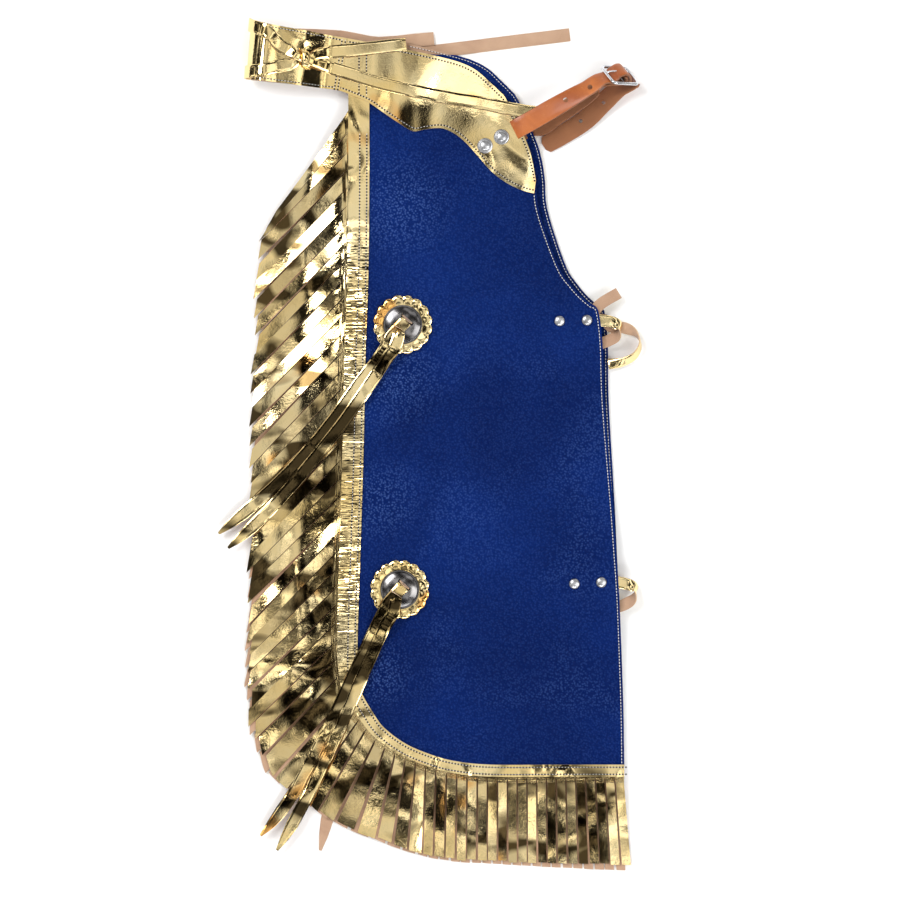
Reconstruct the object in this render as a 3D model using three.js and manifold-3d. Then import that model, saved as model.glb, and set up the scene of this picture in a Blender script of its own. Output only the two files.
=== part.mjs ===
// Bull riding chaps: both legs folded together on a flat surface, the near leg
// on top with its outer side up, the far leg below it with its outer side down.
// X runs from the back of the leg to the front, Y from the hem to the waist and
// Z up from the surface. Millimetres.
import * as THREE from 'three';
import { mergeVertices } from 'three/addons/utils/BufferGeometryUtils.js';
import Module from 'manifold-3d';

const wasm = await Module();
wasm.setup();

// Leg
const LEG_WIDTH = 265;
const LEG_LENGTH = 723;
const FOLD_TWIST = 1.27;
const LEG_GAP = 1.6;

// Leathers
const LEG_LEATHER = 1.8;
const FOIL_LEATHER = 1.6;
const LACE_LEATHER = 1.6;
const STRAP_LEATHER = 2.4;
const GAP = 0.4;
const SEAT_GAP = 0.7;
const INNER_GAP = 1.3;
const BAND_SEAT = 0.55;

// Fringe
const BAND_WIDTH = 21;
const HEM_BAND_WIDTH = 12;
const BAND_LAP = 9;
const FRINGE_LENGTH = 132;
const HEM_FRINGE_LENGTH = 88;
const FRINGE_LEAN = 44;
const STRIP_WIDTH = 12.4;
const HEM_STRIP_WIDTH = 9.8;
const SLIT = 0.7;
const FRINGE_FALL = 70;

// Waist
const BELT_WIDTH = 55;
const BELT_LOOP_HEIGHT = 29;
const LACE_WIDTH = 13;

// Conchos and their ties
const CONCHO_DIAMETER = 39;
const CONCHO_HEIGHT = 4.6;
const CONCHO_METAL = 1.3;
const ROSETTE_DIAMETER = 59;
const ROSETTE_SCALLOPS = 16;
const SCALLOP_DEPTH = 2.2;
const CONCHO_SLOT_LENGTH = 15;
const CONCHO_SLOT_WIDTH = 3.4;
const CONCHO_SLOT_SPACING = 13;
const CONCHO_TIE_WIDTH = 12.5;

// Rivets
const RIVET_DIAMETER = 10.5;
const RIVET_HEIGHT = 2.4;
const RIVET_POST = 3.6;
const RIVET_WASHER = 8.6;
const RIVET_WASHER_METAL = 1;
const RIVET_CLEARANCE = 0.3;

// Front strap and buckle
const STRAP_WIDTH = 19.5;
const STRAP_HOLE = 5;
const STRAP_HEADING = 28.5;
const SLIT_OPENING = 15;
const BUCKLE_LENGTH = 33;
const BUCKLE_WIDTH = 32;
const BUCKLE_WIRE = 3.2;
const TONGUE_WIRE = 2.2;
const BUCKLE_PITCH = 32;
const BUCKLE_ROLL = 52;

// Thigh ties
const THIGH_TIE_WIDTH = 11.5;

// The tables below hold shares: u of LEG_WIDTH from the back corner of the hem,
// v of LEG_LENGTH up from the hem.

// Inner edge of the fringe band, from the waist down the back and along the hem
const BAND_EDGE = [
  { u: 0.040, v: 1.000 },
  { u: 0.040, v: 0.905 },
  { u: 0.040, v: 0.808 },
  { u: 0.036, v: 0.669 },
  { u: 0.026, v: 0.566 },
  { u: 0.019, v: 0.448 },
  { u: 0.008, v: 0.310 },
  { u: -0.004, v: 0.174 },
  { u: -0.002, v: 0.116 },
  { u: 0.014, v: 0.097 },
  { u: 0.052, v: 0.073 },
  { u: 0.096, v: 0.051 },
  { u: 0.177, v: 0.029 },
  { u: 0.272, v: 0.014 },
  { u: 0.362, v: 0.005 },
  { u: 0.498, v: 0.000 },
  { u: 0.758, v: 0.000 },
  { u: 1.000, v: 0.000 },
];

// Cut front edge of the leg, from the hem up past the thigh corner and the
// crotch curve to the waist
const FRONT_EDGE = [
  { v: 0.000, u: 1.000 },
  { v: 0.089, u: 0.996 },
  { v: 0.223, u: 0.981 },
  { v: 0.296, u: 0.968 },
  { v: 0.365, u: 0.955 },
  { v: 0.503, u: 0.925 },
  { v: 0.580, u: 0.917 },
  { v: 0.627, u: 0.900 },
  { v: 0.635, u: 0.872 },
  { v: 0.647, u: 0.834 },
  { v: 0.663, u: 0.796 },
  { v: 0.683, u: 0.758 },
  { v: 0.725, u: 0.713 },
  { v: 0.770, u: 0.675 },
  { v: 0.806, u: 0.666 },
  { v: 0.834, u: 0.652 },
  { v: 0.860, u: 0.629 },
  { v: 0.915, u: 0.558 },
  { v: 0.928, u: 0.530 },
  { v: 0.942, u: 0.490 },
  { v: 0.957, u: 0.444 },
  { v: 0.968, u: 0.385 },
  { v: 0.977, u: 0.298 },
  { v: 0.986, u: 0.185 },
  { v: 1.002, u: -0.049 },
  { v: 1.006, u: -0.120 },
];

// Scalloped lower edge of the yoke, from the back to the tip at the front
const YOKE_EDGE = [
  { u: -0.120, v: 0.932 },
  { u: -0.068, v: 0.929 },
  { u: -0.011, v: 0.921 },
  { u: 0.038, v: 0.913 },
  { u: 0.094, v: 0.899 },
  { u: 0.147, v: 0.886 },
  { u: 0.202, v: 0.874 },
  { u: 0.247, v: 0.876 },
  { u: 0.294, v: 0.878 },
  { u: 0.328, v: 0.876 },
  { u: 0.369, v: 0.868 },
  { u: 0.409, v: 0.855 },
  { u: 0.455, v: 0.836 },
  { u: 0.502, v: 0.817 },
  { u: 0.558, v: 0.802 },
  { u: 0.617, v: 0.792 },
  { u: 0.660, v: 0.788 },
];

// Fringe along the band edge: shares of FRINGE_LEAN and of the two fringe
// lengths and widths (hem 0 takes the side's, hem 1 the hem's)
const FRINGE_FORM = [
  { v: 0.905, u: 0.040, lean: 0.80, length: 0.94, hem: 0.0 },
  { v: 0.845, u: 0.040, lean: 1.00, length: 0.96, hem: 0.0 },
  { v: 0.669, u: 0.036, lean: 1.00, length: 1.02, hem: 0.0 },
  { v: 0.448, u: 0.019, lean: 1.00, length: 1.00, hem: 0.0 },
  { v: 0.227, u: 0.000, lean: 1.03, length: 0.97, hem: 0.0 },
  { v: 0.144, u: -0.003, lean: 1.00, length: 0.92, hem: 0.1 },
  { v: 0.097, u: 0.014, lean: 0.94, length: 0.96, hem: 0.45 },
  { v: 0.073, u: 0.052, lean: 0.80, length: 0.97, hem: 0.7 },
  { v: 0.051, u: 0.096, lean: 0.60, length: 0.98, hem: 0.85 },
  { v: 0.029, u: 0.177, lean: 0.25, length: 1.00, hem: 1.0 },
  { v: 0.014, u: 0.272, lean: 0.04, length: 1.00, hem: 1.0 },
  { v: 0.005, u: 0.362, lean: 0.02, length: 0.98, hem: 1.0 },
  { v: 0.000, u: 0.498, lean: 0.00, length: 0.96, hem: 1.0 },
  { v: 0.000, u: 0.758, lean: -0.02, length: 0.99, hem: 1.0 },
  { v: 0.000, u: 1.000, lean: -0.11, length: 1.01, hem: 1.0 },
];

const CONCHOS = {
  upper: { u: 0.166, v: 0.607 },
  lower: { u: 0.155, v: 0.242 },
};
const THIGHS = {
  upper: [{ u: 0.755, v: 0.612 }, { u: 0.858, v: 0.613 }],
  lower: [{ u: 0.811, v: 0.250 }, { u: 0.912, v: 0.252 }],
};
const STRAP_RIVETS = [{ u: 0.475, v: 0.853 }, { u: 0.537, v: 0.865 }];
const STRAP_SLIT = { u: 0.580, v: 0.8735 };

// Small numeric helpers
const clamp = (t) => Math.min(1, Math.max(0, t));
const ease = (t) => clamp(t) ** 2 * (3 - 2 * clamp(t));
const mix = (a, b, t) => a + (b - a) * t;
const radians = THREE.MathUtils.degToRad;

// Value of one column of a table at a value of another, which rises
function column(table, key, name, value) {
  const i = Math.max(1, table.findIndex((row) => row[key] >= value));
  const last = value > table.at(-1)[key] ? table.length - 1 : i;
  const low = table[last - 1];
  const high = table[last];
  return mix(low[name], high[name], clamp((value - low[key]) / (high[key] - low[key])));
}

const onLeg = ({ u, v }) => new THREE.Vector2(u * LEG_WIDTH, v * LEG_LENGTH);

// The two sides: the far leg is turned by a degree about a point on its thigh
const PIVOT = onLeg({ u: 0.909, v: 0.227 });
const near = { name: 'near', out: 1, twist: 0 };
const far = { name: 'far', out: -1, twist: -radians(FOLD_TWIST) };

const place = (side, p) => p.clone().rotateAround(PIVOT, side.twist);
const unplace = (side, p) => p.clone().rotateAround(PIVOT, -side.twist);

const bandEdge = new THREE.SplineCurve(BAND_EDGE.map(onLeg));
const BAND_STEPS = 160;
const bandPoints = bandEdge.getSpacedPoints(BAND_STEPS);

// Heights. Everything under the far leg lifts it off the surface, and the near
// leg lies on the far one.
const FOIL_STEP = FOIL_LEATHER + GAP;
const BAND_STEP = FOIL_LEATHER + BAND_SEAT;
const LACE_STEP = LACE_LEATHER + GAP;
const CONCHO_STACK = FOIL_STEP + CONCHO_HEIGHT + 2 * LACE_STEP + 3 * SEAT_GAP;
const RIVET_STACK = RIVET_HEIGHT + 2 * GAP;
const WAIST_STACK = 2 * FOIL_STEP + BAND_STEP + LACE_STEP + GAP;
const THIGH_STACK = 3 * LACE_STEP + 2 * (RIVET_WASHER_METAL + INNER_GAP);
const STRAP_STACK = 2 * (STRAP_LEATHER + RIVET_WASHER_METAL + GAP + INNER_GAP);
const STRAP_RADIUS = 0.46 * LEG_WIDTH;
const HILL_RADIUS = 0.5 * LEG_WIDTH;
const WAIST_FROM = 0.72;
const WAIST_FULL = 0.92;

// A broad, low hill of a given height and radius round a point
function hill(p, centre, height, radius) {
  const share = clamp(p.distanceTo(centre) / radius);
  return (height * (1 + Math.cos(Math.PI * share))) / 2;
}

const THIGH_RADIUS = 0.48 * LEG_WIDTH;
const thighMiddle = (rivets) => onLeg(rivets[0]).lerp(onLeg(rivets[1]), 0.7);

// Soft waves in the near leg: place, height and radius, as shares of the leg's
// width for the radius
const WAVES = [
  { u: 0.300, v: 0.745, height: 1.6, radius: 0.22 },
  { u: 0.560, v: 0.500, height: 1.2, radius: 0.34 },
  { u: 0.330, v: 0.110, height: 1.4, radius: 0.30 },
  { u: 0.700, v: 0.130, height: 1.0, radius: 0.30 },
];

// What the far leg's edge rests on: its ties along the side, nothing at the hem
const HEM_FROM = 0.15;
const HEM_FULL = 0.40;
function farRest(point) {
  return LACE_STEP * (1 - ease((point.x / LEG_WIDTH - HEM_FROM) / (HEM_FULL - HEM_FROM)));
}

// Height of the far panel's outer face above the surface
function farBase(point) {
  const p = unplace(far, point);
  let height = BAND_STEP + farRest(point);
  for (const concho of Object.values(CONCHOS)) {
    height += hill(p, onLeg(concho), CONCHO_STACK - BAND_STEP - LACE_STEP, HILL_RADIUS);
  }
  for (const rivets of Object.values(THIGHS)) {
    height += hill(p, thighMiddle(rivets), RIVET_STACK - FOIL_STEP + GAP, THIGH_RADIUS);
  }
  const waist = (p.y / LEG_LENGTH - WAIST_FROM) / (WAIST_FULL - WAIST_FROM);
  return height + (WAIST_STACK - BAND_STEP - LACE_STEP) * ease(waist);
}

// Height of the near panel's outer face above the surface
function nearBase(point) {
  let height = farBase(point) + 2 * LEG_LEATHER + LEG_GAP;
  for (const rivets of Object.values(THIGHS)) {
    height += hill(point, thighMiddle(rivets), THIGH_STACK, THIGH_RADIUS);
  }
  height += hill(point, onLeg(STRAP_RIVETS[1]), STRAP_STACK, STRAP_RADIUS);
  for (const wave of WAVES) {
    height += hill(point, onLeg(wave), wave.height, wave.radius * LEG_WIDTH);
  }
  return height;
}

const base = (side, point) => (side === near ? nearBase(point) : farBase(point));

// A point of a side, k outward from the outer face of its panel
function layer(side, p, k) {
  const at = place(side, p);
  return new THREE.Vector3(at.x, at.y, base(side, at) + side.out * k);
}

// The yoke climbs over the band below it
const YOKE_CLIMB = 26;
function yokeLift(p) {
  return BAND_STEP * ease(1 - (p.x - bandPoints[0].x - 3) / YOKE_CLIMB);
}

// Closed body from positions and triangles, turned outward
function closedBody(positions, triangles) {
  const corner = (i) => new THREE.Vector3().fromArray(positions, 3 * i);
  let volume = 0;
  for (const [a, b, c] of triangles) {
    volume += corner(a).dot(corner(b).cross(corner(c)));
  }
  const turned = volume < 0 ? triangles.map(([a, b, c]) => [a, c, b]) : triangles;
  const geometry = new THREE.BufferGeometry();
  geometry.setAttribute('position', new THREE.Float32BufferAttribute(positions, 3));
  geometry.setIndex(turned.flat());
  return geometry;
}

// A piece of leather: points with an outer and an inner place, and faces
// between them. Walls close it wherever a face has no neighbour.
class Leather {
  constructor() {
    this.positions = [];
    this.faces = [];
  }

  point(outer, inner) {
    this.positions.push(...outer.toArray(), ...inner.toArray());
    return this.positions.length / 6 - 1;
  }

  face(...corners) {
    this.faces.push(corners);
  }

  body() {
    const edges = new Map();
    const triangles = [];
    for (const face of this.faces) {
      face.forEach((a, i) => edges.set(`${a} ${face[(i + 1) % face.length]}`, face));
      for (let i = 2; i < face.length; i += 1) {
        const [a, b, c] = [face[0], face[i - 1], face[i]];
        triangles.push([2 * a, 2 * b, 2 * c], [2 * a + 1, 2 * c + 1, 2 * b + 1]);
      }
    }
    for (const edge of edges.keys()) {
      const [a, b] = edge.split(' ').map(Number);
      if (edges.has(`${b} ${a}`)) continue;
      triangles.push([2 * a, 2 * a + 1, 2 * b + 1], [2 * a, 2 * b + 1, 2 * b]);
    }
    return closedBody(this.positions, triangles);
  }
}

// Leather from a grid of point pairs [outer, inner]
function sheet(rows) {
  const leather = new Leather();
  const grid = rows.map((row) => row.map(([outer, inner]) => leather.point(outer, inner)));
  for (let i = 1; i < grid.length; i += 1) {
    for (let j = 1; j < grid[i].length; j += 1) {
      leather.face(grid[i - 1][j - 1], grid[i][j - 1], grid[i][j], grid[i - 1][j]);
    }
  }
  return leather.body();
}

// Flat ribbon through stations { at, normal, width }: its outer face looks
// along the normal
function ribbon(stations, thickness) {
  return sheet(stations.map(({ at, normal, width }, i) => {
    const before = stations[Math.max(0, i - 1)].at;
    const after = stations[Math.min(stations.length - 1, i + 1)].at;
    const along = after.clone().sub(before).normalize();
    const across = normal.clone().cross(along).normalize();
    const square = along.clone().cross(across).normalize();
    return [-0.5, 0.5].map((side) => {
      const edge = at.clone().addScaledVector(across, side * width);
      return [0.5, -0.5].map((face) => edge.clone().addScaledVector(square, face * thickness));
    });
  }));
}

// Stations along a smooth path through rows { at, normal, width }
function smooth(rows, stepsPerRow) {
  const path = new THREE.CatmullRomCurve3(rows.map((row) => row.at), false, 'centripetal');
  const spans = rows.length - 1;
  return Array.from({ length: spans * stepsPerRow + 1 }, (_, i) => {
    const low = Math.min(spans - 1, Math.floor(i / stepsPerRow));
    const share = i / stepsPerRow - low;
    return {
      at: path.getPoint(i / (spans * stepsPerRow)),
      normal: rows[low].normal.clone().lerp(rows[low + 1].normal, share).normalize(),
      width: mix(rows[low].width, rows[low + 1].width, share),
    };
  });
}

// Manifold bodies, for cuts and joins only
function toSolid(geometry) {
  const bare = geometry.clone();
  bare.deleteAttribute('normal');
  bare.deleteAttribute('uv');
  const merged = mergeVertices(bare, 1e-4);
  return new wasm.Manifold(new wasm.Mesh({
    numProp: 3,
    vertProperties: new Float32Array(merged.attributes.position.array),
    triVerts: new Uint32Array(merged.index.array),
  }));
}

function toGeometry(solid) {
  const mesh = solid.getMesh();
  const geometry = new THREE.BufferGeometry();
  geometry.setAttribute('position', new THREE.Float32BufferAttribute(mesh.vertProperties, 3));
  geometry.setIndex(Array.from(mesh.triVerts));
  return geometry;
}

function cut(geometry, cutters) {
  let solid = toSolid(geometry);
  for (const cutter of cutters) {
    solid = solid.subtract(toSolid(cutter));
  }
  return toGeometry(solid);
}

function join(geometries) {
  let solid = toSolid(geometries[0]);
  for (const geometry of geometries.slice(1)) {
    solid = solid.add(toSolid(geometry));
  }
  return toGeometry(solid);
}

// Upright cutter or part at a place of a side
function upright(geometry, point, turn = 0) {
  return geometry.rotateZ(turn).translate(point.x, point.y, point.z);
}

// Materials
const material = (color, roughness, metalness = 0) =>
  new THREE.MeshStandardMaterial({ color, roughness, metalness });
const BLUE = material('#12267e', 0.55);
const GOLD = material('#c9a03c', 0.18, 1);
const TAN = material('#b45a24', 0.5);
const CHROME = material('#cfd2d6', 0.12, 1);
const SILVER = material('#6d7078', 0.25, 1);

const chaps = new THREE.Group();

function add(name, geometry, look) {
  const mesh = new THREE.Mesh(geometry, look.clone());
  mesh.name = name;
  chaps.add(mesh);
}

// Leg panel: rows from the hem to the waist between the back and front edges
const PANEL_COLUMNS = 7;
const HEM_ROWS = [0, 0.018, 0.045, 0.08, 0.13];
const PANEL_ROW_PITCH = 0.05;
const PANEL_TOP = 0.975;
const CUT_DEPTH = 60;

// Back edge of the panel at a height, under the band
const panelBack = bandPoints.map((p, i) => {
  const along = bandPoints[Math.min(BAND_STEPS, i + 1)].clone().sub(bandPoints[Math.max(0, i - 1)]);
  return p.clone().add(new THREE.Vector2(along.y, -along.x).setLength(BAND_LAP));
});

function backEdge(y) {
  const i = panelBack.findIndex((p) => p.y <= y);
  if (i < 1) return i < 0 ? panelBack.at(-1).x : panelBack[0].x;
  const high = panelBack[i - 1];
  const low = panelBack[i];
  return mix(high.x, low.x, (high.y - y) / (high.y - low.y));
}

function panelRows() {
  const heights = [...HEM_ROWS];
  while (heights.at(-1) + PANEL_ROW_PITCH < FRONT_EDGE[7].v) {
    heights.push(heights.at(-1) + PANEL_ROW_PITCH);
  }
  heights.push(...FRONT_EDGE.slice(7).map((row) => row.v).filter((v) => v < PANEL_TOP));
  heights.push(PANEL_TOP);
  return [-(BAND_LAP - GAP) / LEG_LENGTH, ...heights];
}

function panelSheet(side) {
  return sheet(panelRows().map((v) => {
    const y = v * LEG_LENGTH;
    const front = column(FRONT_EDGE, 'v', 'u', v) * LEG_WIDTH;
    const back = Math.min(backEdge(y), front - 1);
    return Array.from({ length: PANEL_COLUMNS + 1 }, (_, j) => {
      const p = new THREE.Vector2(mix(back, front, j / PANEL_COLUMNS), y);
      return [layer(side, p, 0), layer(side, p, -LEG_LEATHER)];
    });
  }));
}

function rivetHole(side, at) {
  const hole = new THREE.CylinderGeometry(1, 1, CUT_DEPTH, 8);
  hole.scale(RIVET_POST / 2 + RIVET_CLEARANCE, 1, RIVET_POST / 2 + RIVET_CLEARANCE);
  const p = layer(side, onLeg(at), 0);
  return upright(hole.rotateX(Math.PI / 2), p);
}

// The two slots that a concho's lace passes, across the way the lace leaves
const CONCHO_TURN = -42;
function conchoSlots(side, at, clearance) {
  const turn = radians(CONCHO_TURN) + side.twist;
  return [-0.5, 0.5].map((k) => {
    const slot = new THREE.BoxGeometry(
      CONCHO_SLOT_LENGTH + clearance, CONCHO_SLOT_WIDTH + clearance, CUT_DEPTH);
    slot.translate(0, k * CONCHO_SLOT_SPACING, 0);
    return upright(slot, layer(side, onLeg(at), 0), turn);
  });
}

// Slit that a front strap comes out through
function strapSlit(side) {
  const slit = new THREE.BoxGeometry(SLIT_OPENING, STRAP_WIDTH + 2 * GAP, CUT_DEPTH);
  return upright(slit, layer(side, onLeg(STRAP_SLIT), 0), radians(STRAP_HEADING) + side.twist);
}

for (const side of [near, far]) {
  const holes = [...Object.values(THIGHS).flat(), ...STRAP_RIVETS]
    .map((at) => rivetHole(side, at));
  add(`${side.name}_leg_panel`, cut(panelSheet(side), [...holes, strapSlit(side)]), BLUE);
}

// Fringe: a stitched band along the edge with strips cut into its outer part
const BAND_TOP = 0.965;
const STRIP_SHARES = [0.45, 1];
const HEM_STRIP_SHARES = [1];

const fringeForm = FRINGE_FORM.map((row) => {
  const p = onLeg(row);
  const distances = bandPoints.map((q) => q.distanceTo(p));
  return { ...row, s: distances.indexOf(Math.min(...distances)) / BAND_STEPS };
});
fringeForm.at(-1).s = 1;

// Everything about the fringe at a share s of the band's edge
function fringeAt(s) {
  const at = bandEdge.getPointAt(s);
  const along = bandEdge.getTangentAt(s);
  const outward = new THREE.Vector2(along.y, -along.x);
  const hem = column(fringeForm, 's', 'hem', s);
  const lean = radians(FRINGE_LEAN * column(fringeForm, 's', 'lean', s));
  return {
    at,
    hem,
    outward,
    down: new THREE.Vector2(-Math.sin(lean), -Math.cos(lean)),
    band: mix(BAND_WIDTH, HEM_BAND_WIDTH, hem),
    length: mix(FRINGE_LENGTH, HEM_FRINGE_LENGTH, hem) * column(fringeForm, 's', 'length', s),
    strip: mix(STRIP_WIDTH, HEM_STRIP_WIDTH, hem),
  };
}

// Underside of a side's strips at a place, d outward from the band
function stripBottom(side, point, d) {
  const fall = ease(d / FRINGE_FALL);
  const farHigh = farBase(point) - BAND_STEP;
  if (side === far) return mix(farHigh, farRest(point), fall);
  const farLow = Math.max(farHigh, farRest(point));
  return mix(nearBase(point) + BAND_SEAT, mix(farLow, farRest(point), fall) + FOIL_STEP + GAP, fall);
}

function stripPoint(side, p, d) {
  const at = place(side, p);
  const low = stripBottom(side, at, d);
  const faces = [low + FOIL_LEATHER, low].map((z) => new THREE.Vector3(at.x, at.y, z));
  return side === near ? faces : faces.reverse();
}

// Ends of the strips as shares of the band's edge, one after another
function stripCuts() {
  const length = bandEdge.getLength();
  const cuts = [fringeForm[0].s];
  while (cuts.at(-1) < 1) {
    const f = fringeAt(cuts.at(-1));
    const square = Math.abs(f.down.dot(f.outward));
    cuts.push(cuts.at(-1) + f.strip / square / length);
  }
  const scale = (1 - cuts[0]) / (cuts.at(-1) - cuts[0]);
  return cuts.map((s) => Math.min(1, cuts[0] + (s - cuts[0]) * scale));
}

function fringe(side) {
  const leather = new Leather();
  const length = bandEdge.getLength();
  const bandPoint = (s, share) => {
    const f = fringeAt(s);
    const p = f.at.clone().addScaledVector(f.outward, share * f.band);
    return leather.point(layer(side, p, BAND_STEP), layer(side, p, BAND_SEAT));
  };
  const bandRow = (s) => [bandPoint(s, 0), bandPoint(s, 1)];
  const bandFaces = (a, b) => leather.face(a[0], a[1], b[1], b[0]);
  const cuts = stripCuts();
  const top = bandPoints.findIndex((p) => p.y < BAND_TOP * LEG_LENGTH) / BAND_STEPS;
  let row = bandRow(top);
  for (const s of [mix(top, cuts[0], 0.5), cuts[0]]) {
    const next = bandRow(s);
    bandFaces(row, next);
    row = next;
  }
  for (let i = 1; i < cuts.length; i += 1) {
    const next = bandRow(cuts[i]);
    bandFaces(row, next);
    let root = [row[1], next[1]];
    const slit = SLIT / length;
    const forms = [cuts[i - 1] + slit, cuts[i] - slit].map(fringeAt);
    const shares = forms[0].hem > 0.5 ? HEM_STRIP_SHARES : STRIP_SHARES;
    for (const share of shares) {
      const tip = forms.map((f) => {
        const p = f.at.clone().addScaledVector(f.outward, f.band);
        p.addScaledVector(f.down, share * f.length);
        return leather.point(...stripPoint(side, p, share * f.length));
      });
      leather.face(root[0], tip[0], tip[1], root[1]);
      root = tip;
    }
    row = next;
  }
  return leather.body();
}

for (const side of [near, far]) {
  add(`${side.name}_fringe`, fringe(side), GOLD);
}

// Yoke: the scalloped foil piece at the waist, between its lower edge and the
// leg's front edge
const YOKE_COLUMNS = 15;
const YOKE_ROWS = 3;
const yokeLow = new THREE.SplineCurve(YOKE_EDGE.map(onLeg));
const yokeHigh = new THREE.SplineCurve(
  FRONT_EDGE.filter((row) => row.v > YOKE_EDGE.at(-1).v).reverse().map(onLeg));

function yoke(side) {
  const rows = Array.from({ length: YOKE_COLUMNS + 1 }, (_, i) => {
    const low = yokeLow.getPointAt(i / YOKE_COLUMNS);
    const high = yokeHigh.getPointAt(i / YOKE_COLUMNS);
    return Array.from({ length: YOKE_ROWS + 1 }, (_, j) => {
      const p = low.clone().lerp(high, j / YOKE_ROWS);
      const k = GAP + yokeLift(p);
      return [layer(side, p, k + FOIL_LEATHER), layer(side, p, k)];
    });
  });
  return sheet(rows);
}

for (const side of [near, far]) {
  const holes = STRAP_RIVETS.map((at) => rivetHole(side, at));
  add(`${side.name}_yoke`, cut(yoke(side), [...holes, strapSlit(side)]), GOLD);
}


const UP = new THREE.Vector3(0, 0, 1);
const DOWN = new THREE.Vector3(0, 0, -1);

// Outward direction of a side's surface at a place
function outward(side, at) {
  const step = 2;
  const slope = (dx, dy) =>
    base(side, new THREE.Vector2(at.x + dx, at.y + dy))
    - base(side, new THREE.Vector2(at.x - dx, at.y - dy));
  return new THREE.Vector3(-slope(step, 0), -slope(0, step), 2 * step)
    .multiplyScalar(side.out).normalize();
}

// Belt: one strap from the near yoke round the open waist loop to the far yoke
const BELT = [
  { on: near, u: -0.055, v: 0.9650, width: 0.94 },
  { on: near, lift: 0.8, u: -0.125, v: 0.9690, width: 0.97 },
  { rise: 0.83, u: -0.211, v: 0.9735, width: 1.00 },
  { rise: 0.95, u: -0.300, v: 0.9780, width: 1.02 },
  { rise: 1.00, u: -0.362, v: 0.9815, width: 1.03 },
  { rise: 0.52, u: -0.411, v: 0.9835, width: 1.03 },
  { rise: 0.08, u: -0.362, v: 0.9830, width: 1.03 },
  { rise: 0.014, u: -0.279, v: 0.9790, width: 1.00 },
  { on: far, u: -0.125, v: 0.9690, width: 0.97 },
  { on: far, u: -0.055, v: 0.9650, width: 0.94 },
];
const BELT_STEPS = 3;
const BELT_SLANT = 5;
const beltFar = LACE_STEP + GAP + FOIL_LEATHER / 2;
const beltAcross = new THREE.Vector3(-Math.sin(radians(BELT_SLANT)), -Math.cos(radians(BELT_SLANT)), 0);

const beltPath = new THREE.CatmullRomCurve3(BELT.map((row) => {
  if (row.on) {
    const p = onLeg(row);
    const lift = row.lift ?? 0;
    return layer(row.on, p, yokeLift(p) + FOIL_STEP + GAP + FOIL_LEATHER / 2 + lift);
  }
  const p = onLeg(row);
  return new THREE.Vector3(p.x, p.y, beltFar + row.rise * BELT_LOOP_HEIGHT);
}), false, 'centripetal');

// Place on the belt: t counts its rows, w is a share of its width towards its
// lower edge, k lies outward from its middle
function onBelt(t, w, k) {
  const spans = BELT.length - 1;
  const low = Math.min(spans - 1, Math.floor(t));
  const width = BELT_WIDTH * mix(BELT[low].width, BELT[low + 1].width, t - low);
  const along = beltPath.getTangent(clamp(t / spans));
  const normal = along.clone().cross(beltAcross).normalize();
  const across = normal.clone().cross(along).normalize();
  const at = beltPath.getPoint(clamp(t / spans));
  at.addScaledVector(across, w * width).addScaledVector(normal, k);
  return { at, normal, width, across };
}

const beltCounts = Array.from({ length: (BELT.length - 1) * BELT_STEPS + 1 }, (_, i) => i / BELT_STEPS);
add('back_belt', sheet(beltCounts.map((t) =>
  [-0.5, 0, 0.5].map((w) => [0.5, -0.5].map((k) => onBelt(t, w, k * FOIL_LEATHER).at)))), GOLD);

// Laces: each runs from its free end on the near side through the knot, round
// the belt's fold and along the far side under the belt
const KNOT = { t: 1.92, w: 0.02 };
const KNOT_LACE_WIDTH = 8;
const LACES = {
  long: {
    laid: [{ u: 0.672, v: 0.8985 }, { u: 0.581, v: 0.903 }, { u: 0.460, v: 0.912 },
      { u: 0.343, v: 0.919 }, { u: 0.200, v: 0.930 }, { u: 0.068, v: 0.941 }],
    free: [{ t: 0.0, w: 0.13 }, { t: 0.6, w: 0.10 }],
    round: [{ t: 2.6, w: -0.10 }, { t: 3.0, w: -0.16 }, { t: 3.5, w: -0.29 }, { t: 4.0, w: -0.38 },
      { t: 5.0, w: -0.47 }, { t: 6.0, w: -0.42 }, { t: 7.0, w: -0.40 }, { t: 8.0, w: -0.38 },
      { t: 9.0, w: -0.38 }],
    end: { u: 0.283, v: 1.003, lift: 1.2 },
  },
  short: {
    laid: [{ u: 0.178, v: 0.9935 }, { u: 0.090, v: 0.990 }],
    free: [{ t: 0.0, w: -0.27 }, { t: 0.9, w: -0.18 }],
    round: [{ t: 2.65, w: 0.17 }, { t: 3.0, w: 0.22 }, { t: 3.5, w: 0.29 }, { t: 4.0, w: 0.34 },
      { t: 5.0, w: 0.38 }, { t: 6.0, w: 0.33 }, { t: 7.0, w: 0.22 }, { t: 8.0, w: 0.08 },
      { t: 9.0, w: -0.02 }],
    end: { u: 0.795, v: 1.0085 },
  },
};
const laceSeat = FOIL_LEATHER / 2 + 1.8 * GAP + LACE_LEATHER / 2;

// Stations on the belt between table rows, at the belt's own steps
function laceOnBelt(rows, k) {
  const counts = beltCounts.filter((t) => t > rows[0].t && t < rows.at(-1).t);
  return [rows[0].t, ...counts, rows.at(-1).t].map((t) => {
    const { at, normal } = onBelt(t, column(rows, 't', 'w', t), k);
    return { at, normal, width: LACE_WIDTH };
  });
}

function laceOnYoke(rows) {
  return rows.map((row) => {
    const p = onLeg(row);
    const at = layer(near, p, yokeLift(p) + FOIL_STEP + GAP + LACE_LEATHER / 2);
    return { at, normal: outward(near, at), width: LACE_WIDTH };
  });
}

function laceEnd(end) {
  const p = onLeg(end);
  const z = LACE_LEATHER / 2 + (end.lift ?? 0) * LACE_STEP;
  return { at: new THREE.Vector3(p.x, p.y, z), normal: DOWN, width: LACE_WIDTH };
}

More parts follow.
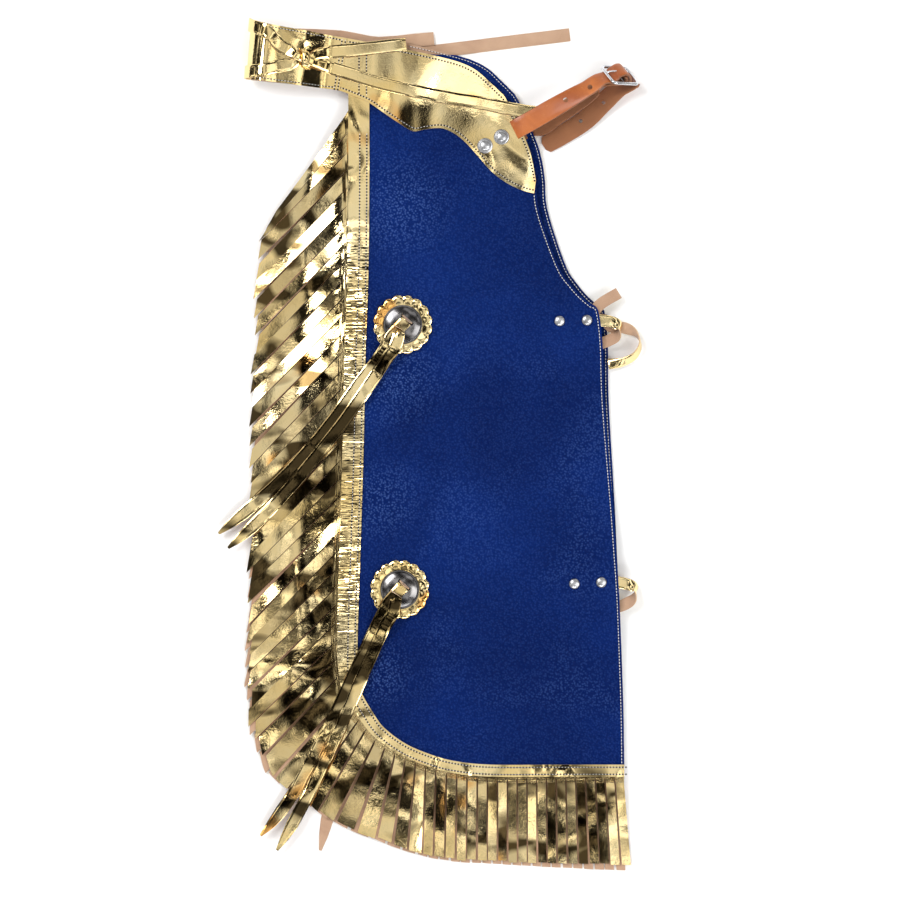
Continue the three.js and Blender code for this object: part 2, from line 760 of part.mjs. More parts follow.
// The knot: the short lace winds once round the long one
const knotSeat = onBelt(KNOT.t, KNOT.w, laceSeat);
const knotAlong = onBelt(LACES.long.free[1].t, LACES.long.free[1].w, laceSeat).at
  .sub(onBelt(LACES.long.round[0].t, LACES.long.round[0].w, laceSeat).at).normalize();
const knotAcross = knotSeat.normal.clone().cross(knotAlong).normalize();

function inKnot(along, across, up, normal, width) {
  const at = knotSeat.at.clone().addScaledVector(knotAlong, along);
  at.addScaledVector(knotAcross, across).addScaledVector(knotSeat.normal, up);
  return { at, normal, width };
}

const knotUp = knotSeat.normal;
const knotDown = knotUp.clone().negate();
const knotOut = KNOT_LACE_WIDTH / 2 + 2 * GAP + 1.5 * LACE_LEATHER;
const longKnot = [-10.5, 0, 10.5].map((along) =>
  inKnot(along, 0, LACE_STEP + 2 * GAP, knotUp, KNOT_LACE_WIDTH));

function shortKnot() {
  const turn = KNOT_LACE_WIDTH * 0.8;
  const high = 2 * LACE_STEP + 4 * GAP;
  const side = knotAcross.clone().negate();
  return [
    inKnot(-turn * 1.2, -knotOut, 0, knotUp, KNOT_LACE_WIDTH * 1.2),
    inKnot(-turn, 0, 0, knotUp, KNOT_LACE_WIDTH),
    inKnot(-turn * 0.85, knotOut * 0.8, 0.3, knotUp.clone().add(side), KNOT_LACE_WIDTH),
    inKnot(-turn * 0.6, knotOut, high / 2, side, KNOT_LACE_WIDTH),
    inKnot(-turn * 0.4, knotOut * 0.8, high - 0.3, knotDown.clone().add(side), KNOT_LACE_WIDTH),
    inKnot(0, 0, high, knotDown, KNOT_LACE_WIDTH),
    inKnot(turn * 0.4, -knotOut * 0.8, high - 0.3, knotDown.clone().sub(side), KNOT_LACE_WIDTH),
    inKnot(turn * 0.6, -knotOut, high / 2, knotAcross, KNOT_LACE_WIDTH),
    inKnot(turn * 0.85, -knotOut * 0.8, 0.3, knotUp.clone().sub(side), KNOT_LACE_WIDTH),
    inKnot(turn, 0, 0, knotUp, KNOT_LACE_WIDTH),
    inKnot(turn * 1.35, knotOut, 0, knotUp, KNOT_LACE_WIDTH * 1.2),
  ];
}

add('back_lace_long', ribbon([
  ...laceOnYoke(LACES.long.laid),
  ...laceOnBelt(LACES.long.free, laceSeat),
  ...longKnot.reverse(),
  ...laceOnBelt(LACES.long.round, laceSeat),
  laceEnd(LACES.long.end),
], LACE_LEATHER), GOLD);

add('back_lace_short', ribbon([
  ...laceOnYoke(LACES.short.laid),
  ...laceOnBelt(LACES.short.free, laceSeat),
  ...shortKnot().reverse(),
  ...laceOnBelt(LACES.short.round, laceSeat),
  laceEnd(LACES.short.end),
], LACE_LEATHER), GOLD);

// Conchos: a slotted metal dome on a scalloped leather rosette
const CONCHO_SEGMENTS = 14;

// Height of the flat seat that a disc of some radius finds on a side's
// surface, and inward of it when inside is set
function seat(side, at, radius, k, inside = false) {
  const centre = onLeg(at);
  const heights = [layer(side, centre, k).z];
  for (let i = 0; i < 8; i += 1) {
    const rim = new THREE.Vector2(radius, 0).rotateAround(new THREE.Vector2(), (i * Math.PI) / 4);
    heights.push(layer(side, rim.add(centre), k).z);
  }
  const highest = (side === near) !== inside;
  const point = layer(side, centre, k);
  return point.setZ(highest ? Math.max(...heights) : Math.min(...heights));
}

// A part drawn upward from z 0, set on a side so that it stands outward
function stand(side, geometry, point) {
  if (side === far) geometry.rotateX(Math.PI);
  return geometry.rotateZ(side.twist).translate(point.x, point.y, point.z);
}

function rosetteGeometry() {
  const outline = [];
  for (let i = 0; i < ROSETTE_SCALLOPS * 2; i += 1) {
    const dip = i % 2 === 0 ? SCALLOP_DEPTH : 0;
    const angle = (Math.PI * i) / ROSETTE_SCALLOPS;
    const r = ROSETTE_DIAMETER / 2 - dip;
    outline.push(new THREE.Vector2(r * Math.cos(angle), r * Math.sin(angle)));
  }
  return new THREE.ExtrudeGeometry(new THREE.Shape(outline), {
    depth: FOIL_LEATHER,
    bevelEnabled: false,
  });
}

// Height of the dome above its rim at a share of its radius
const domeHeight = (share) => CONCHO_HEIGHT * (1 - share ** 2) ** 0.7;

function conchoGeometry() {
  const outer = [1, 0.7, 0].map((share) =>
    new THREE.Vector2((share * CONCHO_DIAMETER) / 2, CONCHO_METAL * 0.6 + domeHeight(share) * 0.88));
  const inner = [0, 0.75].map((share) =>
    new THREE.Vector2((share * CONCHO_DIAMETER) / 2, domeHeight(share) * 0.88 - CONCHO_METAL * 0.6));
  const rim = new THREE.Vector2(CONCHO_DIAMETER / 2, 0);
  const foot = new THREE.Vector2(CONCHO_DIAMETER / 2 - CONCHO_METAL, 0);
  const profile = [...inner, foot, rim, ...outer];
  return new THREE.LatheGeometry(profile, CONCHO_SEGMENTS).rotateX(Math.PI / 2);
}

for (const side of [near, far]) {
  for (const [which, at] of Object.entries(CONCHOS)) {
    const slots = conchoSlots(side, at, 2 * GAP);
    const low = seat(side, at, ROSETTE_DIAMETER / 2, 0);
    low.z += side.out * SEAT_GAP;
    add(`${side.name}_rosette_${which}`, cut(stand(side, rosetteGeometry(), low), slots), GOLD);
    const high = low.clone().setZ(low.z + side.out * FOIL_STEP);
    add(`${side.name}_concho_${which}`, cut(stand(side, conchoGeometry(), high), slots), SILVER);
  }
}

// Rivets: a domed cap outside, a post through the layers and a washer inside
const RIVET_SEGMENTS = 7;

function rivet(side, at, outerK, innerK) {
  const cap = seat(side, at, RIVET_DIAMETER / 2, outerK);
  cap.z += side.out * GAP;
  const washer = seat(side, at, RIVET_WASHER / 2, innerK, true);
  const depth = Math.abs(cap.z - washer.z) + GAP;
  const half = RIVET_DIAMETER / 2;
  const profile = [
    [0, RIVET_HEIGHT],
    [half * 0.75, RIVET_HEIGHT * 0.72],
    [half, 0],
    [RIVET_POST / 2, 0],
    [RIVET_POST / 2, -depth],
    [RIVET_WASHER / 2, -depth],
    [RIVET_WASHER / 2, -depth - RIVET_WASHER_METAL],
    [0, -depth - RIVET_WASHER_METAL],
  ].map(([r, z]) => new THREE.Vector2(r, z)).reverse();
  const body = new THREE.LatheGeometry(profile, RIVET_SEGMENTS).rotateX(Math.PI / 2);
  return stand(side, body, cap);
}

// Level of the strips riveted inside each leg
const tieK = -LEG_LEATHER - INNER_GAP - LACE_LEATHER / 2;
const strapK = -LEG_LEATHER - INNER_GAP - STRAP_LEATHER / 2;
const underTie = (side) => tieK - LACE_LEATHER / 2 - (side === near ? LACE_LEATHER : 0);

for (const side of [near, far]) {
  for (const [which, pair] of Object.entries(THIGHS)) {
    pair.forEach((at, i) => {
      const spot = ['back', 'front'][i];
      add(`${side.name}_thigh_rivet_${which}_${spot}`, rivet(side, at, 0, underTie(side)), CHROME);
    });
  }
  STRAP_RIVETS.forEach((at, i) => {
    const spot = ['back', 'front'][i];
    const outerK = yokeLift(onLeg(at)) + FOIL_STEP;
    const innerK = strapK - STRAP_LEATHER / 2;
    add(`${side.name}_strap_rivet_${spot}`, rivet(side, at, outerK, innerK), CHROME);
  });
}

// Concho ties: two tails of lace that leave the slots, cross at the rim and
// hang down the fringe. Rows run from the slot to the tip.
const CONCHO_TIES = {
  upper: [
    {
      slot: 0,
      near: [{ u: 0.128, v: 0.592 }, { u: 0.085, v: 0.566 }, { u: -0.010, v: 0.520 },
        { u: -0.130, v: 0.460 }, { u: -0.290, v: 0.394 }, { u: -0.425, v: 0.350 },
        { u: -0.528, v: 0.319 }],
      far: [{ u: 0.128, v: 0.592 }, { u: 0.085, v: 0.566 }, { u: -0.010, v: 0.520 },
        { u: -0.130, v: 0.455 }, { u: -0.270, v: 0.385 }],
    },
    {
      slot: 1,
      near: [{ u: 0.150, v: 0.583 }, { u: 0.105, v: 0.560 }, { u: 0.010, v: 0.508 },
        { u: -0.110, v: 0.448 }, { u: -0.270, v: 0.378 }, { u: -0.390, v: 0.332 },
        { u: -0.492, v: 0.299 }],
      far: [{ u: 0.150, v: 0.583 }, { u: 0.105, v: 0.560 }, { u: 0.010, v: 0.500 },
        { u: -0.100, v: 0.432 }, { u: -0.220, v: 0.362 }],
    },
  ],
  lower: [
    {
      slot: 0,
      near: [{ u: 0.116, v: 0.226 }, { u: 0.075, v: 0.198 }, { u: 0.000, v: 0.140 },
        { u: -0.100, v: 0.062 }, { u: -0.215, v: -0.020 }, { u: -0.300, v: -0.068 },
        { u: -0.370, v: -0.098 }],
      far: [{ u: 0.116, v: 0.226 }, { u: 0.075, v: 0.198 }, { u: 0.030, v: 0.130 },
        { u: -0.030, v: 0.030 }, { u: -0.090, v: -0.065 }, { u: -0.125, v: -0.128 }],
    },
    {
      slot: 1,
      near: [{ u: 0.138, v: 0.217 }, { u: 0.095, v: 0.189 }, { u: 0.020, v: 0.128 },
        { u: -0.070, v: 0.052 }, { u: -0.180, v: -0.033 }, { u: -0.250, v: -0.082 },
        { u: -0.308, v: -0.118 }],
      far: [{ u: 0.138, v: 0.217 }, { u: 0.095, v: 0.189 }, { u: 0.055, v: 0.120 },
        { u: 0.005, v: 0.030 }, { u: -0.045, v: -0.040 }],
    },
  ],
};

const TIE_STEPS = 9;
const TIE_POINT = 0.3;
const TIE_LOFT = 1.2;

// Where a tail turns level above its slot, as a share of its rise
const RISE_SHARE = { near: 0.9, far: 0.74 };

// How far a place lies outward from the band's inner edge, negative on the leg
function bandDistance(p) {
  let best = Infinity;
  let found = 0;
  bandPoints.forEach((q, i) => {
    const d = q.distanceToSquared(p);
    if (d < best) {
      best = d;
      found = i;
    }
  });
  const along = bandEdge.getTangentAt(found / BAND_STEPS);
  const offset = p.clone().sub(bandPoints[found]);
  return offset.dot(new THREE.Vector2(along.y, -along.x));
}

// Top of what a near tie lies on: the leg, the band or the strips
function nearCover(at) {
  const d = bandDistance(at);
  if (d < BAND_WIDTH) return nearBase(at) + FOIL_STEP * ease((d + BAND_LAP) / BAND_LAP);
  return stripBottom(near, at, d - BAND_WIDTH) + FOIL_LEATHER;
}

function conchoTie(side, which) {
  const concho = CONCHOS[which];
  const rimZ = seat(side, concho, ROSETTE_DIAMETER / 2, 0).z + side.out * (SEAT_GAP + FOIL_STEP);
  const turn = radians(CONCHO_TURN) + side.twist;
  const leave = new THREE.Vector3(Math.sin(turn), -Math.cos(turn), 0);
  const centre = place(side, onLeg(concho));
  const tails = CONCHO_TIES[which].map((tail) => {
    const apart = (tail.slot - 0.5) * CONCHO_SLOT_SPACING;
    const slot = centre.clone().add(new THREE.Vector2(leave.x, leave.y).multiplyScalar(apart));
    const rest = LACE_LEATHER / 2 + (side === near ? tail.slot * LACE_STEP : 0);
    const top = side === near ? rimZ + CONCHO_HEIGHT + 2 * GAP + rest : rest;
    const rows = [rimZ - side.out * FOIL_STEP, mix(rimZ, top, RISE_SHARE[side.name])].map((z) =>
      ({ at: new THREE.Vector3(slot.x, slot.y, z), normal: leave }));
    const route = tail[side.name].map((row) => place(side, onLeg(row)));
    const path = new THREE.SplineCurve([slot.clone().lerp(route[0], 0.35), ...route]);
    for (let k = 0; k <= TIE_STEPS; k += 1) {
      const p = path.getPoint(k / TIE_STEPS);
      const reach = p.distanceTo(centre) / (ROSETTE_DIAMETER / 2);
      const laid = side === near ? nearCover(p) + 2 * GAP + TIE_LOFT + rest : rest;
      const z = mix(top, laid, ease((reach - 0.75) / 0.9));
      const normal = side === near ? outward(near, p) : DOWN;
      rows.push({ at: new THREE.Vector3(p.x, p.y, z), normal });
    }
    rows.forEach((row, k) => {
      row.width = CONCHO_TIE_WIDTH * (k === rows.length - 1 ? TIE_POINT : 1);
    });
    return ribbon(rows, LACE_LEATHER);
  });
  return join(tails);
}

for (const side of [near, far]) {
  for (const which of Object.keys(CONCHO_TIES)) {
    add(`${side.name}_concho_tie_${which}`, conchoTie(side, which), GOLD);
  }
}

// Thigh ties: a strip riveted inside the leg at both rivets, whose outer part
// curls round beyond the front edge. Rise is a share of the tie's width from
// the strip's level; up and ahead give the way its gold face looks.
const THIGH_LOOPS = {
  near_upper: {
    curl: [{ u: 0.958, v: 0.610, rise: 0.00, up: 1.0, ahead: 0.15, aside: 0 },
      { u: 0.983, v: 0.604, rise: -0.12, up: 0.5, ahead: 0.90, aside: 0.2 },
      { u: 0.975, v: 0.593, rise: -0.24, up: -0.5, ahead: 0.80, aside: 0 },
      { u: 0.945, v: 0.586, rise: -0.30, up: -1.0, ahead: 0.10, aside: 0 },
      { u: 0.900, v: 0.580, rise: -0.34, up: -1.0, ahead: 0.00, aside: 0 }],
    end: [{ u: 0.905, v: 0.634 }, { u: 0.979, v: 0.651 }],
  },
  near_lower: {
    curl: [{ u: 1.010, v: 0.2495, rise: 0.00, up: 1.0, ahead: 0.15, aside: 0 },
      { u: 1.042, v: 0.243, rise: -0.12, up: 0.5, ahead: 0.90, aside: 0.2 },
      { u: 1.033, v: 0.230, rise: -0.24, up: -0.5, ahead: 0.80, aside: 0 },
      { u: 1.000, v: 0.221, rise: -0.30, up: -1.0, ahead: 0.10, aside: 0 },
      { u: 0.955, v: 0.216, rise: -0.34, up: -1.0, ahead: 0.00, aside: 0 }],
  },
  far_upper: {
    curl: [{ u: 0.950, v: 0.6045, rise: -0.05, up: -1.0, ahead: 0.00, aside: 0.0 },
      { u: 1.000, v: 0.603, rise: -0.05, up: -0.9, ahead: 0.15, aside: 0.2 },
      { u: 1.045, v: 0.594, rise: 0.10, up: -0.3, ahead: 0.85, aside: 0.4 },
      { u: 1.060, v: 0.581, rise: 0.12, up: 0.2, ahead: 0.95, aside: 0.0 },
      { u: 1.045, v: 0.567, rise: 0.10, up: 0.5, ahead: 0.70, aside: -0.5 },
      { u: 0.995, v: 0.556, rise: 0.05, up: 0.7, ahead: 0.10, aside: -0.7 },
      { u: 0.940, v: 0.553, rise: 0.00, up: 0.9, ahead: 0.00, aside: -0.4 }],
  },
  far_lower: { curl: [{ u: 0.955, v: 0.246, rise: 0.00, up: -1.0, ahead: 0.00, aside: 0 }] },
};
const THIGH_STRIP_START = 8;

function thighTie(side, which) {
  const [back, front] = THIGHS[which].map(onLeg);
  const loop = THIGH_LOOPS[`${side.name}_${which}`];
  const run = front.clone().sub(back).normalize();
  const inner = side === near ? UP : DOWN;
  const onStrip = (p, down) => {
    const at = layer(side, p, tieK - down);
    return { at, normal: inner, width: THIGH_TIE_WIDTH };
  };
  const start = back.clone().addScaledVector(run, -THIGH_STRIP_START);
  const edge = front.clone().setX(column(FRONT_EDGE, 'v', 'u', front.y / LEG_LENGTH) * LEG_WIDTH);
  const strip = [start, back, back.clone().lerp(front, 0.5), front, edge];
  const level = onStrip(edge, 0).at.z;
  const curl = loop.curl.map((row) => {
    const p = onLeg(row);
    return {
      at: new THREE.Vector3(p.x, p.y, level + row.rise * THIGH_TIE_WIDTH),
      normal: new THREE.Vector3(row.ahead, row.aside, row.up).normalize(),
      width: THIGH_TIE_WIDTH,
    };
  });
  const flat = strip.map((p) => onStrip(p, 0));
  const curled = curl.length > 1 ? smooth([flat.at(-1), ...curl], 2) : [flat.at(-1), ...curl];
  const strips = [ribbon([...flat.slice(0, -1), ...curled], LACE_LEATHER)];
  if (loop.end) {
    const rows = [...strip.slice(0, -1), ...loop.end.map(onLeg)];
    const ply = rows.map((p) => onStrip(p, LACE_LEATHER * 0.95));
    strips.push(ribbon(ply, LACE_LEATHER));
  }
  const holes = THIGHS[which].map((at) => rivetHole(side, at));
  return cut(join(strips), holes);
}

for (const side of [near, far]) {
  for (const which of Object.keys(THIGHS)) {
    add(`${side.name}_thigh_tie_${which}`, thighTie(side, which), GOLD);
  }
}

// Buckle: its own frame of axes, tilted as it leans on the strap
const BUCKLE_AT = { u: 0.981, v: 0.950 };
const pitch = radians(BUCKLE_PITCH);
const roll = radians(BUCKLE_ROLL);
const buckleAlong = new THREE.Vector3(Math.cos(pitch), 0, -Math.sin(pitch));
const buckleLevel = new THREE.Vector3(Math.sin(pitch), 0, Math.cos(pitch));
const buckleAcross = new THREE.Vector3(0, -Math.cos(roll), 0).addScaledVector(buckleLevel, Math.sin(roll));
const buckleFace = buckleAcross.clone().cross(buckleAlong);
const buckleHigh = BUCKLE_LENGTH / 2 * Math.sin(pitch)
  + BUCKLE_WIDTH / 2 * Math.cos(pitch) * Math.sin(roll) + BUCKLE_WIRE / 2 + GAP;
const buckleCentre = new THREE.Vector3(onLeg(BUCKLE_AT).x, onLeg(BUCKLE_AT).y, buckleHigh);
const buckleMatrix = new THREE.Matrix4()
  .makeBasis(buckleAlong, buckleAcross.clone().negate(), buckleFace)
  .setPosition(buckleCentre);

function inBuckle(along, face) {
  return buckleCentre.clone().addScaledVector(buckleAlong, along).addScaledVector(buckleFace, face);
}

const sideBar = BUCKLE_LENGTH / 2 - BUCKLE_WIRE / 2;
const barSeat = BUCKLE_WIRE / 2 + GAP + STRAP_LEATHER / 2;
const wrapSeat = BUCKLE_WIRE * Math.SQRT1_2 + GAP + STRAP_LEATHER / 2;
const CORNER_STEPS = 2;

// Outline of a rectangle with round corners
function roundedOutline(width, height, r) {
  const points = [];
  const corners = [[1, 1], [-1, 1], [-1, -1], [1, -1]];
  corners.forEach(([x, y], quarter) => {
    for (let i = 0; i <= CORNER_STEPS; i += 1) {
      const angle = (Math.PI / 2) * (quarter + i / CORNER_STEPS);
      points.push(new THREE.Vector2(
        x * (width / 2 - r) + r * Math.cos(angle), y * (height / 2 - r) + r * Math.sin(angle)));
    }
  });
  return points;
}

function buckleFrame() {
  const shape = new THREE.Shape(roundedOutline(BUCKLE_LENGTH, BUCKLE_WIDTH, BUCKLE_WIRE * 1.3));
  const opening = (BUCKLE_LENGTH - 3 * BUCKLE_WIRE) / 2;
  for (const k of [-1, 1]) {
    const hole = roundedOutline(opening, BUCKLE_WIDTH - 2 * BUCKLE_WIRE, BUCKLE_WIRE / 3);
    hole.forEach((p) => p.setX(p.x + (k * (opening + BUCKLE_WIRE)) / 2));
    shape.holes.push(new THREE.Path(hole));
  }
  const frame = new THREE.ExtrudeGeometry(shape, { depth: BUCKLE_WIRE, bevelEnabled: false });
  return frame.translate(0, 0, -BUCKLE_WIRE / 2).applyMatrix4(buckleMatrix);
}

add('buckle_frame', buckleFrame(), CHROME);

// Tongue: a ring round the middle bar and a pin that rests on the left bar
function buckleTongue() {
  const ringRadius = BUCKLE_WIRE * 0.72 + GAP + TONGUE_WIRE / 2;
  const ring = new THREE.TorusGeometry(ringRadius, TONGUE_WIRE / 2, 5, 9).rotateX(Math.PI / 2);
  const rest = BUCKLE_WIRE / 2 + GAP + TONGUE_WIRE / 2;
  const path = new THREE.CatmullRomCurve3([
    new THREE.Vector3(0, 0, ringRadius),
    new THREE.Vector3(-sideBar * 0.4, 0, ringRadius + GAP * 2),
    new THREE.Vector3(-sideBar, 0, rest + GAP / 2),
    new THREE.Vector3(-sideBar - BUCKLE_WIRE * 0.8, 0, rest),
  ]);
  const section = new THREE.Shape();
  for (let i = 0; i < 6; i += 1) {
    const angle = (Math.PI * i) / 3;
    const [x, y] = [Math.cos(angle), Math.sin(angle)].map((c) => (c * TONGUE_WIRE) / 2);
    if (i) section.lineTo(x, y);
    else section.moveTo(x, y);
  }
  const pin = new THREE.ExtrudeGeometry(section, { steps: 6, extrudePath: path, bevelEnabled: false });
  return join([ring, pin]).applyMatrix4(buckleMatrix);
}

add('buckle_tongue', buckleTongue(), CHROME);

// Straps: each is riveted inside its leg and comes out through a slit. The near
// strap runs through the buckle and folds back below; the far one holds the
// middle bar.
function strapRoot(side) {
  const slit = onLeg(STRAP_SLIT);
  const along = new THREE.Vector2(1, 0).rotateAround(new THREE.Vector2(), radians(STRAP_HEADING));
  const stations = [
    { share: -2.5, k: strapK },
    { share: -0.42, k: strapK },
    { share: 0.42, k: FOIL_STEP + 2 * GAP + STRAP_LEATHER / 2 },
    { share: side === near ? 1.1 : 0.6, k: FOIL_STEP + (side === near ? 3.2 : 1.2) + STRAP_LEATHER / 2 },
  ];
  return stations.map(({ share, k }) => {
    const p = slit.clone().addScaledVector(along, share * SLIT_OPENING);
    return { at: layer(side, p, k), normal: side === near ? UP : DOWN, width: STRAP_WIDTH };
  });
}

const strapRow = (at, normal) => ({ at, normal, width: STRAP_WIDTH });

function nearStrap() {
  const weave = [
    [-1.5, -1.2], [-1.0, -1.15], [-0.78, -1.1], [-0.4, 1.3], [0, 2.25], [0.4, 1.3],
    [0.78, -1.1], [1.0, -1.15], [1.2, -1.3],
  ].map(([along, face]) =>
    strapRow(inBuckle(along * sideBar, face * barSeat), buckleFace));
  const fold = [
    strapRow(inBuckle(1.32 * sideBar, -1.75 * barSeat), buckleAlong),
    strapRow(inBuckle(1.2 * sideBar, -2.4 * barSeat), buckleFace.clone().negate()),
  ];
  const back = [
    { u: 0.975, v: 0.9315, z: 8.6 },
    { u: 0.925, v: 0.9155, z: 6.4 },
    { u: 0.857, v: 0.8910, z: 3.6 },
    { u: 0.760, v: 0.8635, z: 1.7 },
    { u: 0.712, v: 0.8510, z: 1.6 },
  ];
  const run = back.map((row, i) => {
    const p = onLeg(row);
    const flat = buckleFace.clone().negate().lerp(DOWN, ease((i + 1) / 3)).normalize();
    return strapRow(new THREE.Vector3(p.x, p.y, row.z), flat);
  });
  run.at(-1).width = STRAP_WIDTH * 0.72;
  return [...strapRoot(near), ...weave, ...fold, ...run];
}

function farStrap() {
  const rise = [
    { u: 0.680, v: 0.8815, z: 3.4 },
    { u: 0.741, v: 0.8955, z: 6.0 },
    { u: 0.820, v: 0.9140, z: 9.5 },
    { u: 0.896, v: 0.9335, z: 13.5 },
  ].map((row, i) => {
    const p = onLeg(row);
    const tilt = DOWN.clone().lerp(buckleFace.clone().negate(), (i + 1) / 5).normalize();
    return strapRow(new THREE.Vector3(p.x, p.y, row.z), tilt);
  });
  const under = strapRow(inBuckle(-0.55 * sideBar, -1.6 * wrapSeat), buckleFace.clone().negate());
  const wrap = [-1, -0.5, 0, 0.5, 1].map((turn) => {
    const angle = (turn * Math.PI) / 2;
    const normal = buckleAlong.clone().multiplyScalar(Math.cos(angle))
      .addScaledVector(buckleFace, Math.sin(angle));
    return strapRow(buckleCentre.clone().addScaledVector(normal, wrapSeat), normal);
  });
  return [...strapRoot(far), ...rise, under, ...wrap];
}

// Holes along the near strap, in its upper run and in its folded end
const STRAP_HOLES = [
  { u: 0.777, v: 0.9155 }, { u: 0.868, v: 0.9330 }, { u: 0.838, v: 0.8875 }, { u: 0.925, v: 0.9130 },
];

function strapHole(at) {
  const hole = new THREE.CylinderGeometry(STRAP_HOLE / 2, STRAP_HOLE / 2, 2 * CUT_DEPTH, 8);
  const p = onLeg(at);
  return hole.rotateX(Math.PI / 2).translate(p.x, p.y, 0);
}

// Slot in a strap for the buckle's tongue, between two places along the buckle
function tongueSlot(from, to) {
  const slot = new THREE.BoxGeometry((to - from) * sideBar, STRAP_HOLE, 8 * barSeat);
  return slot.translate(((from + to) / 2) * sideBar, 0, 0).applyMatrix4(buckleMatrix);
}

const rivetHoles = (side) => STRAP_RIVETS.map((at) => rivetHole(side, at));
const nearCuts = [...rivetHoles(near), ...STRAP_HOLES.map(strapHole)];
const nearSlot = tongueSlot(-0.66, -0.08).translate(...buckleFace.clone().multiplyScalar(3.6 * barSeat).toArray());
add('near_front_strap', cut(ribbon(nearStrap(), STRAP_LEATHER), [...nearCuts, nearSlot]), TAN);
const farCuts = [...rivetHoles(far), tongueSlot(-0.5, 0.6)];
add('far_front_strap', cut(ribbon(farStrap(), STRAP_LEATHER), farCuts), TAN);

// The frame: the middle of the bounding box, on the surface
const bounds = new THREE.Box3().setFromObject(chaps);
const middle = bounds.getCenter(new THREE.Vector3());
for (const mesh of chaps.children) {
  mesh.geometry.translate(-middle.x, -middle.y, -bounds.min.z);
}

export default chaps;
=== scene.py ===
import bpy
import bmesh
import math
import random
import numpy as np
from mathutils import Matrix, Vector


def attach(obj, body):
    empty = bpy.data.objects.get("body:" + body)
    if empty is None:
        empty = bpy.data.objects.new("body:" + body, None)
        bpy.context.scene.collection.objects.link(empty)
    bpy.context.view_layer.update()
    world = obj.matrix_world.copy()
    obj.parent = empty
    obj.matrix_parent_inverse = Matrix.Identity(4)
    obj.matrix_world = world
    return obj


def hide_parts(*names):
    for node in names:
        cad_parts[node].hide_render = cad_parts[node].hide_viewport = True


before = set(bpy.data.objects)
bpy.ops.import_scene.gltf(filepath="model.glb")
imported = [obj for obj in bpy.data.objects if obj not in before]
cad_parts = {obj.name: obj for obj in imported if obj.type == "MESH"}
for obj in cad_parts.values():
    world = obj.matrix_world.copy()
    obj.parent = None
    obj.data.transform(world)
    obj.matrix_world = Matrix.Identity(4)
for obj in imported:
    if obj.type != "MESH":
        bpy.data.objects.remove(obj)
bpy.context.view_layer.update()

# Sizes, mm
MM = 0.001
# from the leg's own origin, where hem and back edge meet, to the middle of the part
SHIFT = np.array([-70.8823, -321.5583, 0.0])

LEG_WIDTH = 265.0
LEG_LENGTH = 723.0
FOLD_TWIST = 1.27
LEG_GAP = 1.6
LEG_LEATHER = 1.8
FOIL = 1.6
LACE = 1.6
STRAP = 2.4
GAP = 0.4
SEAT_GAP = 0.7
INNER_GAP = 1.3
BAND_SEAT = 0.55
BAND_WIDTH = 21.0
HEM_BAND_WIDTH = 12.0
BAND_LAP = 9.0
FRINGE_LENGTH = 132.0
HEM_FRINGE_LENGTH = 88.0
FRINGE_LEAN = 44.0
STRIP_WIDTH = 12.4
HEM_STRIP_WIDTH = 9.8
SLIT = 0.8
FRINGE_FALL = 70.0
# the far leg's hem strips show below the near leg's
FAR_HEM_MORE = 5.0
# how the strips differ: roll in degrees, side bow, share of length, ripple
STRIP_ROLL = (-9, 14)
STRIP_BOW = 2.4
HEM_STRIP_BOW = 0.4
STRIP_STRETCH = (-0.045, 0.03)
STRIP_RIPPLE = (0.3, 0.9)
STRIP_TIP_SLANT = 4.0
STRIP_SEED = {"near": 7, "far": 19}
BELT_WIDTH = 55.0
BELT_LOOP_HEIGHT = 29.0
LACE_WIDTH = 13.0
CONCHO_DIAMETER = 39.0
CONCHO_HEIGHT = 4.6
ROSETTE_DIAMETER = 59.0
SCALLOP_DEPTH = 2.2
SCALLOPS = 16
SLOT_LENGTH = 15.0
SLOT_WIDTH = 3.4
SLOT_SPACING = 13.0
TIE_WIDTH = 12.5
RIVET_DIAMETER = 10.5
RIVET_HEIGHT = 2.4
RIVET_POST_RADIUS = 1.8
RIVET_WASHER_RADIUS = 4.3
RIVET_WASHER_METAL = 1.0
STRAP_WIDTH = 19.5
STRAP_HOLE = 5.0
STRAP_HEADING = 28.5
SLIT_OPENING = 15.0
BUCKLE_LENGTH = 33.0
BUCKLE_WIDTH = 32.0
BUCKLE_WIRE = 3.2
BUCKLE_CORNER = 4.2
TONGUE_WIRE = 2.2
BUCKLE_PITCH = 32.0
BUCKLE_ROLL = 52.0
THIGH_TIE_WIDTH = 11.5

BAND_EDGE = [
    (0.040, 1.000), (0.040, 0.905), (0.040, 0.808), (0.036, 0.669), (0.026, 0.566), (0.019, 0.448),
    (0.008, 0.310), (-0.004, 0.174), (-0.002, 0.116), (0.014, 0.097), (0.052, 0.073), (0.096, 0.051),
    (0.177, 0.029), (0.272, 0.014), (0.362, 0.005), (0.498, 0.000), (0.758, 0.000), (1.000, 0.000),
]
FRONT_EDGE = [
    (1.000, 0.000), (0.996, 0.089), (0.981, 0.223), (0.968, 0.296), (0.955, 0.365), (0.925, 0.503),
    (0.917, 0.580), (0.900, 0.627), (0.872, 0.635), (0.834, 0.647), (0.796, 0.663), (0.758, 0.683),
    (0.713, 0.725), (0.675, 0.770), (0.666, 0.806), (0.652, 0.834), (0.629, 0.860), (0.558, 0.915),
    (0.530, 0.928), (0.490, 0.942), (0.444, 0.957), (0.385, 0.968), (0.298, 0.977), (0.185, 0.986),
    (-0.049, 1.002), (-0.120, 1.006),
]
YOKE_EDGE = [
    (-0.120, 0.932), (-0.068, 0.929), (-0.011, 0.921), (0.038, 0.913), (0.094, 0.899), (0.147, 0.886),
    (0.202, 0.874), (0.247, 0.876), (0.294, 0.878), (0.328, 0.876), (0.369, 0.868), (0.409, 0.855),
    (0.455, 0.836), (0.502, 0.817), (0.558, 0.802), (0.617, 0.792), (0.660, 0.788),
]
